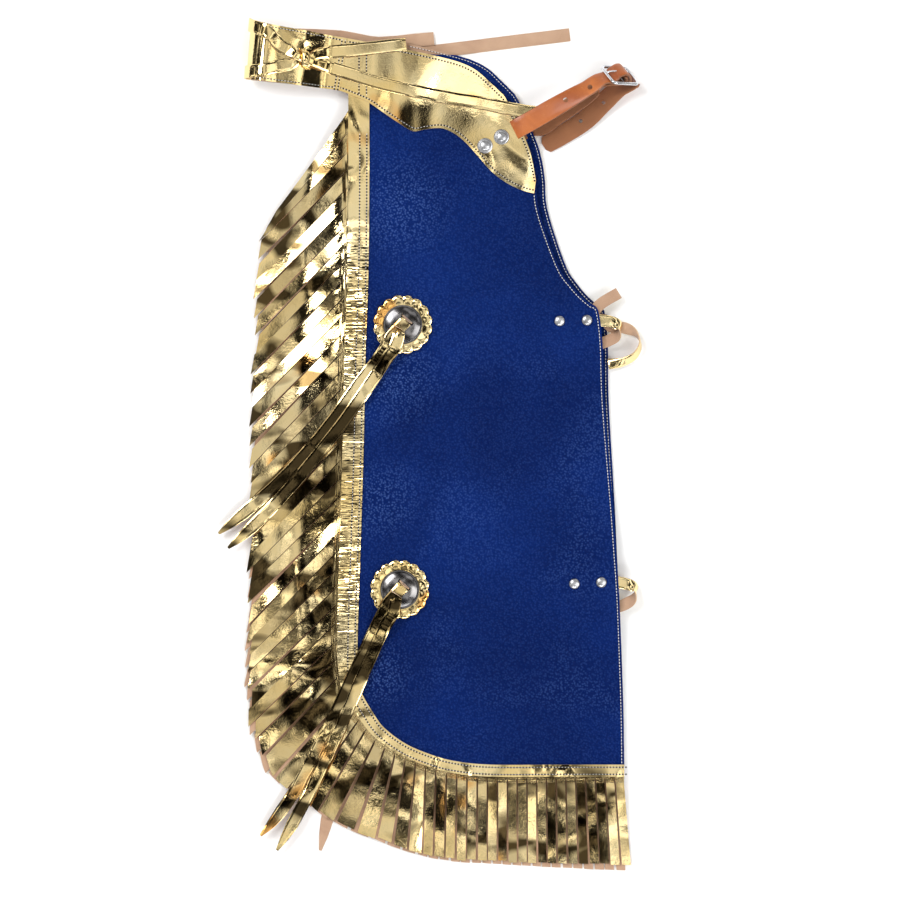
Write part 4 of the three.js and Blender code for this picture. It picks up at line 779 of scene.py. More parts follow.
def fringe_at(s):
    way = band_edge.way(s)
    hem = float(np.interp(s, form_s, form[:, 4]))
    lean = math.radians(FRINGE_LEAN * float(np.interp(s, form_s, form[:, 2])))
    return {
        "at": band_edge.at(s),
        "out": np.array([way[1], -way[0]]),
        "down": np.array([-math.sin(lean), -math.cos(lean)]),
        "hem": hem,
        "band": mix(BAND_WIDTH, HEM_BAND_WIDTH, hem),
        "length": mix(FRINGE_LENGTH, HEM_FRINGE_LENGTH, hem) * float(np.interp(s, form_s, form[:, 3])),
        "strip": mix(STRIP_WIDTH, HEM_STRIP_WIDTH, hem),
    }


def strip_bottom(side, x, y, d):
    fall = ease(d / FRINGE_FALL)
    far_high = far_base(x, y) - BAND_STEP
    rest = far_rest(x)
    if side == FAR:
        return mix(far_high, rest, fall)
    low = np.maximum(far_high, rest)
    return mix(near_base(x, y) + BAND_SEAT, mix(low, rest, fall) + FOIL_STEP + GAP, fall)


def strip_cuts():
    cuts = [form_s[0]]
    while cuts[-1] < 1:
        f = fringe_at(cuts[-1])
        cuts.append(cuts[-1] + f["strip"] / abs(float(f["down"] @ f["out"])) / band_edge.length)
    scale = (1 - cuts[0]) / (cuts[-1] - cuts[0])
    return [min(1.0, cuts[0] + (s - cuts[0]) * scale) for s in cuts]


BAND_TOP = 0.965 * LEG_LENGTH


def fringe(side):
    draw = random.Random(STRIP_SEED[side])
    points, faces, marks, uv = [], [], [], []

    def pair(outer, inner, across, along):
        points.append(outer)
        points.append(inner)
        uv.extend([(across, along)] * 2)
        return len(points) // 2 - 1

    edges = {}
    quads = []

    def quad(look, *corners):
        quads.append((look, corners))
        for i, a in enumerate(corners):
            edges[(a, corners[(i + 1) % 4])] = True

    band_columns = 5
    shares = np.linspace(0, 1, band_columns)

    def band_row(s):
        f = fringe_at(s)
        row = []
        for share in shares:
            p = f["at"] + f["out"] * share * f["band"]
            crinkle = 0.0
            if side == NEAR:
                crinkle = 0.22 * math.sin(s * band_edge.length / 3.1 + 2 * math.sin(s * 90)) * share
            a = layer(side, p[0], p[1], BAND_STEP + crinkle)
            b = layer(side, p[0], p[1], BAND_SEAT + crinkle)
            row.append(pair(a, b, share, s))
        return row

    cuts = strip_cuts()
    top = float(np.interp(-BAND_TOP, -band_points[:, 1], band_shares))
    row = band_row(top)
    for s in np.linspace(top, cuts[0], 7)[1:]:
        following = band_row(s)
        for j in range(band_columns - 1):
            quad(3, row[j], row[j + 1], following[j + 1], following[j])
        row = following
    slit = SLIT / band_edge.length
    longer = 0.0 if side == NEAR else FAR_HEM_MORE
    parts = 6
    steps = 14
    for i in range(1, len(cuts)):
        strip_row = [row]
        for k in range(1, parts + 1):
            following = band_row(mix(cuts[i - 1], cuts[i], k / parts))
            for j in range(band_columns - 1):
                quad(3, strip_row[-1][j], strip_row[-1][j + 1], following[j + 1], following[j])
            strip_row.append(following)
        row = strip_row[-1]
        root = [r[-1] for r in strip_row]
        forms = [fringe_at(mix(cuts[i - 1] + slit, cuts[i] - slit, k / parts)) for k in range(parts + 1)]
        roll = math.tan(math.radians(draw.uniform(*STRIP_ROLL)))
        hem = forms[0]["hem"]
        bow = draw.uniform(-1, 1) * mix(STRIP_BOW, HEM_STRIP_BOW, hem)
        stretch = 1 + draw.uniform(*STRIP_STRETCH) * (1 - 0.7 * hem) * (1.0 if side == NEAR else 0.3)
        point = STRIP_TIP_SLANT * (1 - hem)
        ripple = draw.uniform(*STRIP_RIPPLE)
        phase = draw.uniform(0, 6.28)
        width = forms[0]["strip"]
        for n in range(1, steps + 1):
            share = n / steps
            tip = []
            for k, f in enumerate(forms):
                d = share * ((f["length"] + longer * f["hem"]) * stretch + point * (k / parts - 0.5))
                p = f["at"] + f["out"] * f["band"] + f["down"] * d
                sidewise = np.array([-f["down"][1], f["down"][0]])
                p = p + sidewise * bow * share ** 2
                x, y = turned(p[0], p[1], TWIST[side])
                low = float(strip_bottom(side, x, y, d))
                settle = ease(share * 3)
                lift = settle * (roll * (k / parts - 0.5) * width + 0.5 * width * abs(roll)) * 0.7
                lift += settle * ripple * (1 + math.sin(d / 9.0 + phase)) * 0.5
                low += float(lift)
                upper, lower = np.array([x, y, low + FOIL]), np.array([x, y, low])
                faces_pair = (upper, lower) if side == NEAR else (lower, upper)
                tip.append(pair(*faces_pair, 2 * i + k / parts, share))
            for k in range(parts):
                quad(0, root[k], tip[k], tip[k + 1], root[k + 1])
            root = tip
    for look, (a, b, c, d) in quads:
        faces.append((2 * a, 2 * b, 2 * c, 2 * d))
        marks.append(look)
        faces.append((2 * a + 1, 2 * d + 1, 2 * c + 1, 2 * b + 1))
        marks.append(1)
    for a, b in edges:
        if (b, a) not in edges:
            faces.append((2 * a, 2 * a + 1, 2 * b + 1, 2 * b))
            marks.append(2)
    return closed_mesh(f"{side}_foil_fringe", points, faces, marks, FRINGE_LOOKS, uv)


for side in (NEAR, FAR):
    cut = finished(f"{side}_foil_fringe", fringe(side), "gold", f"{side}_fringe")


# Yokes
yoke_low = Path([on_leg(p) for p in YOKE_EDGE])
yoke_high = Path([on_leg(p) for p in FRONT_EDGE if p[1] > YOKE_EDGE[-1][1]][::-1])


def yoke(side):
    t = np.linspace(0, 1, 90)
    low, high = yoke_low.at(t), yoke_high.at(t)
    outer, inner = [], []
    for share in np.linspace(0, 1, 16):
        p = mix(low, high, share)
        k = GAP + yoke_lift(p[:, 0])
        outer.append(layer(side, p[:, 0], p[:, 1], k + FOIL))
        inner.append(layer(side, p[:, 0], p[:, 1], k))
    return shell(f"{side}_foil_yoke", np.array(outer), np.array(inner), FOIL_LOOKS)


for side in (NEAR, FAR):
    cut = finished(f"{side}_foil_yoke", yoke(side), "gold", f"{side}_yoke")


# Belt and laces
# place on, u, v, lift or rise, width
BELT = [
    (NEAR, -0.055, 0.9650, 0.0, 0.94), (NEAR, -0.125, 0.9690, 0.8, 0.97), (None, -0.211, 0.9735, 0.83, 1.00),
    (None, -0.300, 0.9780, 0.95, 1.02), (None, -0.362, 0.9815, 1.00, 1.03),
    (None, -0.411, 0.9835, 0.52, 1.03), (None, -0.362, 0.9830, 0.08, 1.03),
    (None, -0.279, 0.9790, 0.014, 1.00), (FAR, -0.125, 0.9690, 0.0, 0.97),
    (FAR, -0.055, 0.9650, 0.0, 0.94),
]
BELT_SLANT = math.radians(5)
BELT_ACROSS = np.array([-math.sin(BELT_SLANT), -math.cos(BELT_SLANT), 0.0])


def belt_row(row):
    on, u, v, high, _ = row
    x, y = on_leg((u, v))
    if on:
        return layer(on, x, y, float(yoke_lift(x)) + FOIL_STEP + GAP + FOIL / 2 + high)
    return np.array([x, y, LACE_STEP + GAP + FOIL / 2 + high * BELT_LOOP_HEIGHT])


belt_rows = np.array([belt_row(row) for row in BELT])


def belt_point(t):
    """Centripetal curve through the belt's rows, t counting rows."""
    p = belt_rows
    last = len(p) - 1
    i = min(int(t), last - 1)
    w = t - i
    p0 = p[i - 1] if i > 0 else 2 * p[0] - p[1]
    p1, p2 = p[i], p[i + 1]
    p3 = p[i + 2] if i + 2 <= last else 2 * p[last] - p[last - 1]
    d0, d1, d2 = (max(np.linalg.norm(b - a) ** 0.5, 1e-4) for a, b in ((p0, p1), (p1, p2), (p2, p3)))
    m1 = ((p1 - p0) / d0 - (p2 - p0) / (d0 + d1) + (p2 - p1) / d1) * d1
    m2 = ((p2 - p1) / d1 - (p3 - p1) / (d1 + d2) + (p3 - p2) / d2) * d1
    return p1 + m1 * w + (3 * p2 - 3 * p1 - 2 * m1 - m2) * w ** 2 + (2 * p1 - 2 * p2 + m1 + m2) * w ** 3


def unit(v):
    return v / np.linalg.norm(v)


def on_belt(t, w, k):
    spans = len(BELT) - 1
    t = min(max(t, 0.0), float(spans))
    low = min(spans - 1, int(t))
    width = BELT_WIDTH * mix(BELT[low][4], BELT[low + 1][4], t - low)
    along = unit(belt_point(min(t + 0.01, spans)) - belt_point(max(t - 0.01, 0)))
    normal = unit(np.cross(along, BELT_ACROSS))
    across = unit(np.cross(normal, along))
    return belt_point(t) + across * w * width + normal * k, normal


def belt():
    t = np.linspace(0, len(BELT) - 1, 109)
    w = np.linspace(-0.5, 0.5, 11)
    outer = np.array([[on_belt(a, b, FOIL / 2)[0] for b in w] for a in t])
    inner = np.array([[on_belt(a, b, -FOIL / 2)[0] for b in w] for a in t])
    return shell("back_foil_belt", outer, inner, FOIL_LOOKS)


back_belt = finished("back_foil_belt", belt(), "gold", "back_belt")

LACE_SEAT = FOIL / 2 + 1.8 * GAP + LACE / 2
# laid: u, v on the yoke; free and round: belt row, share across; end: u, v, layers up
LACES = {
    "long": {
        "laid": [(0.672, 0.8985), (0.581, 0.903), (0.460, 0.912), (0.343, 0.919), (0.200, 0.930),
                 (0.068, 0.941)],
        "free": [(0.0, 0.13), (0.6, 0.10)],
        "round": [(2.6, -0.10), (3.0, -0.16), (3.5, -0.29), (4.0, -0.38), (5.0, -0.47), (6.0, -0.42),
                  (7.0, -0.40), (8.0, -0.38), (9.0, -0.38)],
        "end": (0.283, 1.003, 1.2),
    },
    "short": {
        "laid": [(0.178, 0.9935), (0.090, 0.990)],
        "free": [(0.0, -0.27), (0.9, -0.18)],
        "round": [(2.65, 0.17), (3.0, 0.22), (3.5, 0.29), (4.0, 0.34), (5.0, 0.38), (6.0, 0.33), (7.0, 0.22),
                  (8.0, 0.08), (9.0, -0.02)],
        "end": (0.795, 1.0085, 0.0),
    },
}


def lace_on_belt(rows):
    counts = [k / 3 for k in range(28) if rows[0][0] < k / 3 < rows[-1][0]]
    t = [rows[0][0], *counts, rows[-1][0]]
    w = np.interp(t, [r[0] for r in rows], [r[1] for r in rows])
    return [(*on_belt(a, b, LACE_SEAT), LACE_WIDTH) for a, b in zip(t, w)]


def lace_on_yoke(rows):
    made = []
    for row in rows:
        x, y = on_leg(row)
        at = layer(NEAR, x, y, float(yoke_lift(x)) + FOIL_STEP + GAP + LACE / 2)
        made.append((at, outward(NEAR, x, y), LACE_WIDTH))
    return made


def lace_end(end):
    x, y = on_leg(end)
    return (np.array([x, y, LACE / 2 + end[2] * LACE_STEP]), np.array([0, 0, -1.0]), LACE_WIDTH)


KNOT_WIDTH = 8.0
knot_at, knot_up = on_belt(1.92, 0.02, LACE_SEAT)
before_knot = on_belt(*LACES["long"]["free"][1], LACE_SEAT)[0]
after_knot = on_belt(*LACES["long"]["round"][0], LACE_SEAT)[0]
knot_along = unit(before_knot - after_knot)
knot_across = unit(np.cross(knot_up, knot_along))
knot_out = KNOT_WIDTH / 2 + 2 * GAP + 1.5 * LACE


def in_knot(along, across, up, normal, width=KNOT_WIDTH):
    return (knot_at + knot_along * along + knot_across * across + knot_up * up, unit(normal), width)


def short_knot():
    turn = KNOT_WIDTH * 0.8
    high = 2 * LACE_STEP + 4 * GAP
    side_way = -knot_across
    return [
        in_knot(-turn * 1.2, -knot_out, 0, knot_up, KNOT_WIDTH * 1.2),
        in_knot(-turn, 0, 0, knot_up),
        in_knot(-turn * 0.85, knot_out * 0.8, 0.3, knot_up + side_way),
        in_knot(-turn * 0.6, knot_out, high / 2, side_way),
        in_knot(-turn * 0.4, knot_out * 0.8, high - 0.3, side_way - knot_up),
        in_knot(0, 0, high, -knot_up),
        in_knot(turn * 0.4, -knot_out * 0.8, high - 0.3, -knot_up - side_way),
        in_knot(turn * 0.6, -knot_out, high / 2, knot_across),
        in_knot(turn * 0.85, -knot_out * 0.8, 0.3, knot_up - side_way),
        in_knot(turn, 0, 0, knot_up),
        in_knot(turn * 1.35, knot_out, 0, knot_up, KNOT_WIDTH * 1.2),
    ]


def long_knot():
    return [in_knot(along, 0, LACE_STEP + 2 * GAP, knot_up) for along in (10.5, 0, -10.5)]


def lace(name, route, knot):
    stations = (lace_on_yoke(route["laid"]) + lace_on_belt(route["free"]) + knot
                + lace_on_belt(route["round"]) + [lace_end(route["end"])])
    return ribbon(name, stations, LACE, LACE_LOOKS, 4)


KNOT_REACH = 14.0
finished("long_back_lace", lace("long_back_lace", LACES["long"], long_knot()), "gold", "back_lace_long")
short_mesh = lace("short_back_lace", LACES["short"], short_knot()[::-1])
for face in short_mesh.polygons:
    # the turns of the knot get foil on both sides, which the real lace lacks
    off = np.array(face.center) / MM - SHIFT - knot_at
    if off @ knot_up > LACE and np.linalg.norm(off) < KNOT_REACH:
        face.material_index = 0
finished("short_back_lace", short_mesh, "gold", "back_lace_short")


# Conchos
def seat(side, at, radius, k, inside=False):
    x, y = on_leg(at)
    angles = np.arange(8) * math.pi / 4
    xs = np.concatenate([[x], x + radius * np.cos(angles)])
    ys = np.concatenate([[y], y + radius * np.sin(angles)])
    z = layer(side, xs, ys, k)[:, 2]
    p = layer(side, x, y, k)
    highest = (side == NEAR) != inside
    return np.array([p[0], p[1], z.max() if highest else z.min()])


def lathe(profile, segments):
    """Points and faces of a closed form turned round Z from (radius, height) rows."""
    points, faces = [], []
    rings = []
    for r, z in profile:
        if r < 1e-6:
            rings.append([len(points)])
            points.append((0, 0, z))
            continue
        rings.append(list(range(len(points), len(points) + segments)))
        for i in range(segments):
            a = 2 * math.pi * i / segments
            points.append((r * math.cos(a), r * math.sin(a), z))
    for low, high in zip(rings, rings[1:]):
        for i in range(segments):
            j = (i + 1) % segments
            if len(low) == 1:
                faces.append((low[0], high[j], high[i]))
            elif len(high) == 1:
                faces.append((low[i], low[j], high[0]))
            else:
                faces.append((low[i], low[j], high[j], high[i]))
    return np.array(points, float), faces


def stand(side, points, at):
    """Points drawn upwards from z 0, set on a leg so that they stand outwards."""
    p = points.copy()
    if side == FAR:
        p[:, 1] *= -1
        p[:, 2] *= -1
    c, s = math.cos(TWIST[side]), math.sin(TWIST[side])
    return np.stack([p[:, 0] * c - p[:, 1] * s, p[:, 0] * s + p[:, 1] * c, p[:, 2]], axis=1) + at


CONCHO_TURN = math.radians(-42)


def kept(made, name):
    """A plain mesh from a working one, which is freed."""
    mesh = bpy.data.meshes.new(name)
    made.to_mesh(mesh)
    made.free()
    return mesh


def slot_cutter(side, at):
    """Two bars that cut a concho's lace slots."""
    turn = CONCHO_TURN + TWIST[side]
    centre = layer(side, *on_leg(at), 0)
    made = bmesh.new()
    for k in (-0.5, 0.5):
        bar = bmesh.ops.create_cube(made, size=1.0)["verts"]
        for v in bar:
            x, y, z = v.co.x * SLOT_LENGTH, v.co.y * SLOT_WIDTH + k * SLOT_SPACING, v.co.z * 60
            v.co = (
                (x * math.cos(turn) - y * math.sin(turn) + centre[0] + SHIFT[0]) * MM,
                (x * math.sin(turn) + y * math.cos(turn) + centre[1] + SHIFT[1]) * MM,
                (z + centre[2]) * MM)
    return kept(made, "cutter")


def with_cuts(mesh, cutter_mesh):
    """The mesh with the cutter's volume taken out."""
    body = bpy.data.objects.new("cut_body", mesh)
    tool = bpy.data.objects.new("cut_tool", cutter_mesh)
    for made in (body, tool):
        bpy.context.scene.collection.objects.link(made)
    cut = body.modifiers.new("slots", "BOOLEAN")
    cut.operation = "DIFFERENCE"
    cut.solver = "EXACT"
    cut.object = tool
    result = bpy.data.meshes.new_from_object(body.evaluated_get(bpy.context.evaluated_depsgraph_get()))
    bpy.data.objects.remove(body)
    bpy.data.objects.remove(tool)
    result.shade_smooth()
    result.set_sharp_from_angle(angle=math.radians(35))
    return result


def rosette(side, which, at):
    segments = SCALLOPS * 12
    radius = ROSETTE_DIAMETER / 2
    # share of the radius, rise
    rings = [(0.0, 0.0), (0.60, 0.0), (0.70, 0.05), (0.76, 0.45), (0.86, 0.85), (0.94, 0.70), (0.985, 0.25),
             (1.0, -0.12)]
    points, faces, marks = [], [], []
    loops = []
    for face, top in ((0, FOIL - 0.3), (1, 0.0)):
        order = rings if face == 0 else rings[::-1]
        for share, rise in order:
            if share == 0.0:
                loops.append([len(points)])
                points.append((0, 0, top + (rise if face == 0 else 0)))
                continue
            loop = []
            for i in range(segments):
                a = 2 * math.pi * i / segments
                lobe = abs(math.sin(SCALLOPS / 2 * a)) ** 0.8
                r = (radius - SCALLOP_DEPTH * (1 - lobe)) * share
                emboss = rise * (0.25 + 0.75 * lobe)
                loop.append(len(points))
                points.append((r * math.cos(a), r * math.sin(a), top + (emboss if face == 0 else 0)))
            loops.append(loop)
    for n, (low, high) in enumerate(zip(loops, loops[1:])):
        mark = 0 if n < len(rings) - 1 else (2 if n == len(rings) - 1 else 1)
        for i in range(segments):
            j = (i + 1) % segments
            if len(low) == 1:
                faces.append((low[0], high[i], high[j]))
            elif len(high) == 1:
                faces.append((low[i], high[0], low[j]))
            else:
                faces.append((low[i], high[i], high[j], low[j]))
            marks.append(mark)
    seat_at = seat(side, at, radius, 0)
    seat_at[2] += OUT[side] * SEAT_GAP
    placed = stand(side, np.array(points, float), seat_at)
    mesh = closed_mesh(f"{side}_rosette_foil_{which}", placed, faces, marks, ROSETTE_LOOKS)
    return with_cuts(mesh, slot_cutter(side, at)), seat_at


def concho(side, which, at, seat_at):
    half = CONCHO_DIAMETER / 2
    outer = [(half, 0.0), (half + 0.05, 0.5), (half - 0.3, 1.0), (half - 1.1, 1.15), (half - 1.9, 0.95)]
    for share in np.linspace(0.88, 0.0, 12):
        z = 0.78 + CONCHO_HEIGHT * 0.88 * (1 - share ** 2) ** 0.75
        outer.append((share * half, z))
    inner = [(share * half, max(0.0, CONCHO_HEIGHT * 0.8 * (1 - share ** 2) ** 0.75 - 0.5))
             for share in np.linspace(0, 0.9, 8)]
    points, faces = lathe(inner + outer, 96)
    high = seat_at + np.array([0, 0, OUT[side] * FOIL_STEP])
    mesh = closed_mesh(f"{side}_concho_dome_{which}", stand(side, points, high), faces, None, [SILVER])
    return with_cuts(mesh, slot_cutter(side, at))


for side in (NEAR, FAR):
    for which, at in CONCHOS.items():
        mesh, seat_at = rosette(side, which, at)
        finished(f"{side}_rosette_foil_{which}", mesh, "gold", f"{side}_rosette_{which}")
        dome = concho(side, which, at, seat_at)
        finished(f"{side}_concho_dome_{which}", dome, "silver", f"{side}_concho_{which}")


# Rivets
TIE_K = -LEG_LEATHER - INNER_GAP - LACE / 2
STRAP_K = -LEG_LEATHER - INNER_GAP - STRAP / 2


def rivet(side, at, outer_k, inner_k, ring):
    cap = seat(side, at, RIVET_DIAMETER / 2, outer_k)
    cap[2] += OUT[side] * GAP
    washer = seat(side, at, RIVET_WASHER_RADIUS, inner_k, True)
    depth = abs(cap[2] - washer[2]) + GAP
    half = RIVET_DIAMETER / 2
    profile = [(half * math.sin(a), RIVET_HEIGHT * (0.1 + 0.9 * math.cos(a)))
               for a in np.linspace(0, 1.5, 12)]
    profile += [(half, 0.12)]
    if ring:
        rim = [(1.12, 0.05), (1.20, 0.75), (1.36, 0.90), (1.48, 0.35), (1.50, 0.0)]
        profile += [(half * share, z) for share, z in rim]
    profile += [(RIVET_POST_RADIUS, -0.02), (RIVET_POST_RADIUS, -depth), (RIVET_WASHER_RADIUS, -depth)]
    profile += [(RIVET_WASHER_RADIUS, -depth - RIVET_WASHER_METAL), (0, -depth - RIVET_WASHER_METAL)]
    points, faces = lathe(profile, 40)
    return stand(side, points, cap), faces


for side in (NEAR, FAR):
    jobs = []
    for which, pair in THIGHS.items():
        for spot, at in zip(("back", "front"), pair):
            inner = TIE_K - LACE / 2 - (LACE if side == NEAR else 0)
            jobs.append((f"{side}_thigh_rivet_{which}_{spot}", at, 0.0, inner))
    for spot, at in zip(("back", "front"), STRAP_RIVETS):
        outer = float(yoke_lift(on_leg(at)[0])) + FOIL_STEP
        jobs.append((f"{side}_strap_rivet_{spot}", at, outer, STRAP_K - STRAP / 2))
    for name, at, outer_k, inner_k in jobs:
        p, f = rivet(side, at, outer_k, inner_k, "strap" in name)
        mesh = closed_mesh(name + "_cap", p, f, None, [NICKEL])
        finished(name + "_cap", mesh, "chrome", name)


# Concho ties
CONCHO_TIES = {
    "upper": [
        {NEAR: [(0.128, 0.592), (0.085, 0.566), (-0.010, 0.520), (-0.130, 0.460), (-0.290, 0.394),
                (-0.425, 0.350), (-0.528, 0.319)],
         FAR: [(0.128, 0.592), (0.085, 0.566), (-0.010, 0.520), (-0.130, 0.455), (-0.270, 0.385)]},
        {NEAR: [(0.150, 0.583), (0.105, 0.560), (0.010, 0.508), (-0.110, 0.448), (-0.270, 0.378),
                (-0.390, 0.332), (-0.492, 0.299)],
         FAR: [(0.150, 0.583), (0.105, 0.560), (0.010, 0.500), (-0.100, 0.432), (-0.220, 0.362)]},
    ],
    "lower": [
        {NEAR: [(0.116, 0.226), (0.075, 0.198), (0.000, 0.140), (-0.100, 0.062), (-0.215, -0.020),
                (-0.300, -0.068), (-0.370, -0.098)],
         FAR: [(0.116, 0.226), (0.075, 0.198), (0.030, 0.130), (-0.030, 0.030), (-0.090, -0.065),
               (-0.125, -0.128)]},
        {NEAR: [(0.138, 0.217), (0.095, 0.189), (0.020, 0.128), (-0.070, 0.052), (-0.180, -0.033),
                (-0.250, -0.082), (-0.308, -0.118)],
         FAR: [(0.138, 0.217), (0.095, 0.189), (0.055, 0.120), (0.005, 0.030), (-0.045, -0.040)]},
    ],
}


def band_distance(x, y):
    d = np.hypot(band_points[:, 0] - x, band_points[:, 1] - y)
    i = int(np.argmin(d))
    way = band_edge.way(i / BAND_STEPS)
    return (x - band_points[i][0]) * way[1] - (y - band_points[i][1]) * way[0]


def near_cover(x, y):
    d = band_distance(x, y)
    if d < BAND_WIDTH:
        return near_base(x, y) + FOIL_STEP * ease((d + BAND_LAP) / BAND_LAP)
    return strip_bottom(NEAR, x, y, d - BAND_WIDTH) + FOIL


def concho_tail(side, which, index):
    at = CONCHOS[which]
    rim = seat(side, at, ROSETTE_DIAMETER / 2, 0)[2] + OUT[side] * (SEAT_GAP + FOIL_STEP)
    turn = CONCHO_TURN + TWIST[side]
    leave = np.array([math.sin(turn), -math.cos(turn)])
    centre = np.array(turned(*on_leg(at), TWIST[side]))
    slot = centre + leave * (index - 0.5) * SLOT_SPACING
    rest = LACE / 2 + (index * LACE_STEP if side == NEAR else 0)
    top = rim + CONCHO_HEIGHT + 2 * GAP + rest if side == NEAR else rest
    rise = 0.9 if side == NEAR else 0.74
    rows = [(np.array([*slot, z]), np.array([*leave, 0.0]), TIE_WIDTH)
            for z in (rim - OUT[side] * FOIL_STEP, mix(rim, top, rise))]
    route = [np.array(turned(*on_leg(p), TWIST[side])) for p in CONCHO_TIES[which][index][side]]
    path = Path([mix(slot, route[0], 0.35), *route])
    steps = 18
    for k in range(steps + 1):
        p = path.at(k / steps)
        reach = np.linalg.norm(p - centre) / (ROSETTE_DIAMETER / 2)
        laid = near_cover(*p) + 2 * GAP + 1.2 + rest if side == NEAR else rest
        z = float(mix(top, laid, ease((reach - 0.75) / 0.9)))
        normal = outward(NEAR, *p) if side == NEAR else np.array([0, 0, -1.0])
        width = TIE_WIDTH if k < steps - 1 else TIE_WIDTH * (0.72 if k == steps - 1 else 0.22)
        rows.append((np.array([*p, z]), normal, width))
    return ribbon(f"{side}_tail_{which}_{index}", rows, LACE, TIE_LOOKS, 3)


def joined(name, meshes, looks):
    """One mesh from several that share their looks."""
    made = bmesh.new()
    for mesh in meshes:
        made.from_mesh(mesh)
    result = kept(made, name)
    for look in looks:
        result.materials.append(look)
    result.shade_smooth()
    result.set_sharp_from_angle(angle=math.radians(38))
    return result


for side in (NEAR, FAR):
    for which in CONCHO_TIES:
        tails = [concho_tail(side, which, k) for k in (0, 1)]
        name = f"{side}_concho_lace_{which}"
        finished(name, joined(name, tails, TIE_LOOKS), "gold", f"{side}_concho_tie_{which}")


# Thigh ties
# u, v, rise, up, ahead, aside
THIGH_LOOPS = {
    "near_upper": [(0.958, 0.610, 0.00, 1.0, 0.15, 0), (0.983, 0.604, -0.12, 0.5, 0.90, 0.2),
                   (0.975, 0.593, -0.24, -0.5, 0.80, 0), (0.945, 0.586, -0.30, -1.0, 0.10, 0),
                   (0.900, 0.580, -0.34, -1.0, 0.00, 0)],
    "near_lower": [(1.010, 0.2495, 0.00, 1.0, 0.15, 0), (1.042, 0.243, -0.12, 0.5, 0.90, 0.2),
                   (1.033, 0.230, -0.24, -0.5, 0.80, 0), (1.000, 0.221, -0.30, -1.0, 0.10, 0),
                   (0.955, 0.216, -0.34, -1.0, 0.00, 0)],
    "far_upper": [(0.950, 0.6045, -0.05, -1.0, 0.00, 0.0), (1.000, 0.603, -0.05, -0.9, 0.15, 0.2),
                  (1.045, 0.594, 0.10, -0.3, 0.85, 0.4), (1.060, 0.581, 0.12, 0.2, 0.95, 0.0),
                  (1.045, 0.567, 0.10, 0.5, 0.70, -0.5), (0.995, 0.556, 0.05, 0.7, 0.10, -0.7),
                  (0.940, 0.553, 0.00, 0.9, 0.00, -0.4)],
    "far_lower": [(0.955, 0.246, 0.00, -1.0, 0.00, 0)],
}
THIGH_END = [(0.905, 0.634), (0.979, 0.651)]


def thigh_tie(side, which):
    back, front = (on_leg(p) for p in THIGHS[which])
    run = unit(front - back)
    inner = np.array([0, 0, OUT[side]])

    def on_strip(p, down):
        return (layer(side, p[0], p[1], TIE_K - down), inner, THIGH_TIE_WIDTH)

    edge = np.array([float(front_x(front[1])), front[1]])
    strip = [back - run * 8, back, mix(back, front, 0.5), front, edge]
    level = float(on_strip(edge, 0)[0][2])
    rows = [on_strip(p, 0) for p in strip]
    for u, v, rise, up, ahead, aside in THIGH_LOOPS[f"{side}_{which}"]:
        x, y = on_leg((u, v))
        rows.append((np.array([x, y, level + rise * THIGH_TIE_WIDTH]), unit(np.array([ahead, aside, up])),
                     THIGH_TIE_WIDTH))
    name = f"{side}_thigh_lace_{which}"
    meshes = [ribbon(name, rows, LACE, LACE_LOOKS, 6)]
    if f"{side}_{which}" == "near_upper":
        ply = [on_strip(p, LACE * 0.95) for p in [*strip[:-1], *(on_leg(p) for p in THIGH_END)]]
        ply = [(p, -n, w) for p, n, w in ply]
        meshes.append(ribbon(name, ply, LACE, LACE_LOOKS, 6))
    return joined(name, meshes, LACE_LOOKS)


for side in (NEAR, FAR):
    for which in THIGHS:
        finished(f"{side}_thigh_lace_{which}", thigh_tie(side, which), "gold", f"{side}_thigh_tie_{which}")


# Buckle and straps
PITCH, ROLL = math.radians(BUCKLE_PITCH), math.radians(BUCKLE_ROLL)
B_ALONG = np.array([math.cos(PITCH), 0, -math.sin(PITCH)])
B_LEVEL = np.array([math.sin(PITCH), 0, math.cos(PITCH)])
B_ACROSS = np.array([0, -math.cos(ROLL), 0]) + B_LEVEL * math.sin(ROLL)
B_FACE = np.cross(B_ACROSS, B_ALONG)
B_HIGH = (BUCKLE_LENGTH / 2 * math.sin(PITCH) + BUCKLE_WIDTH / 2 * math.cos(PITCH) * math.sin(ROLL)
          + BUCKLE_WIRE / 2 + GAP)
B_CENTRE = np.array([0.981 * LEG_WIDTH, 0.950 * LEG_LENGTH, B_HIGH])
SIDE_BAR = BUCKLE_LENGTH / 2 - BUCKLE_WIRE / 2
BAR_SEAT = BUCKLE_WIRE / 2 + GAP + STRAP / 2
WRAP_SEAT = BUCKLE_WIRE * math.sqrt(0.5) + GAP + STRAP / 2


def in_buckle(along, across, face):
    return B_CENTRE + B_ALONG * along - B_ACROSS * across + B_FACE * face


def wire(name, rings, closed=False, around=12):
    """Round wire through rings, each a middle, two axes across the wire and a radius, mm."""
    points = []
    for middle, a, b, radius in rings:
        for k in range(around):
            t = 2 * math.pi * k / around
            points.append(middle + (a * math.cos(t) + b * math.sin(t)) * radius)
    n = len(rings)
    faces = []
    for i in range(n if closed else n - 1):
        j = (i + 1) % n
        for k in range(around):
            q = (k + 1) % around
            faces.append((i * around + k, i * around + q, j * around + q, j * around + k))
    if not closed:
        faces.append(tuple(range(around))[::-1])
        faces.append(tuple((n - 1) * around + k for k in range(around)))
    return closed_mesh(name, points, faces, None, [CHROME], sharp=50)


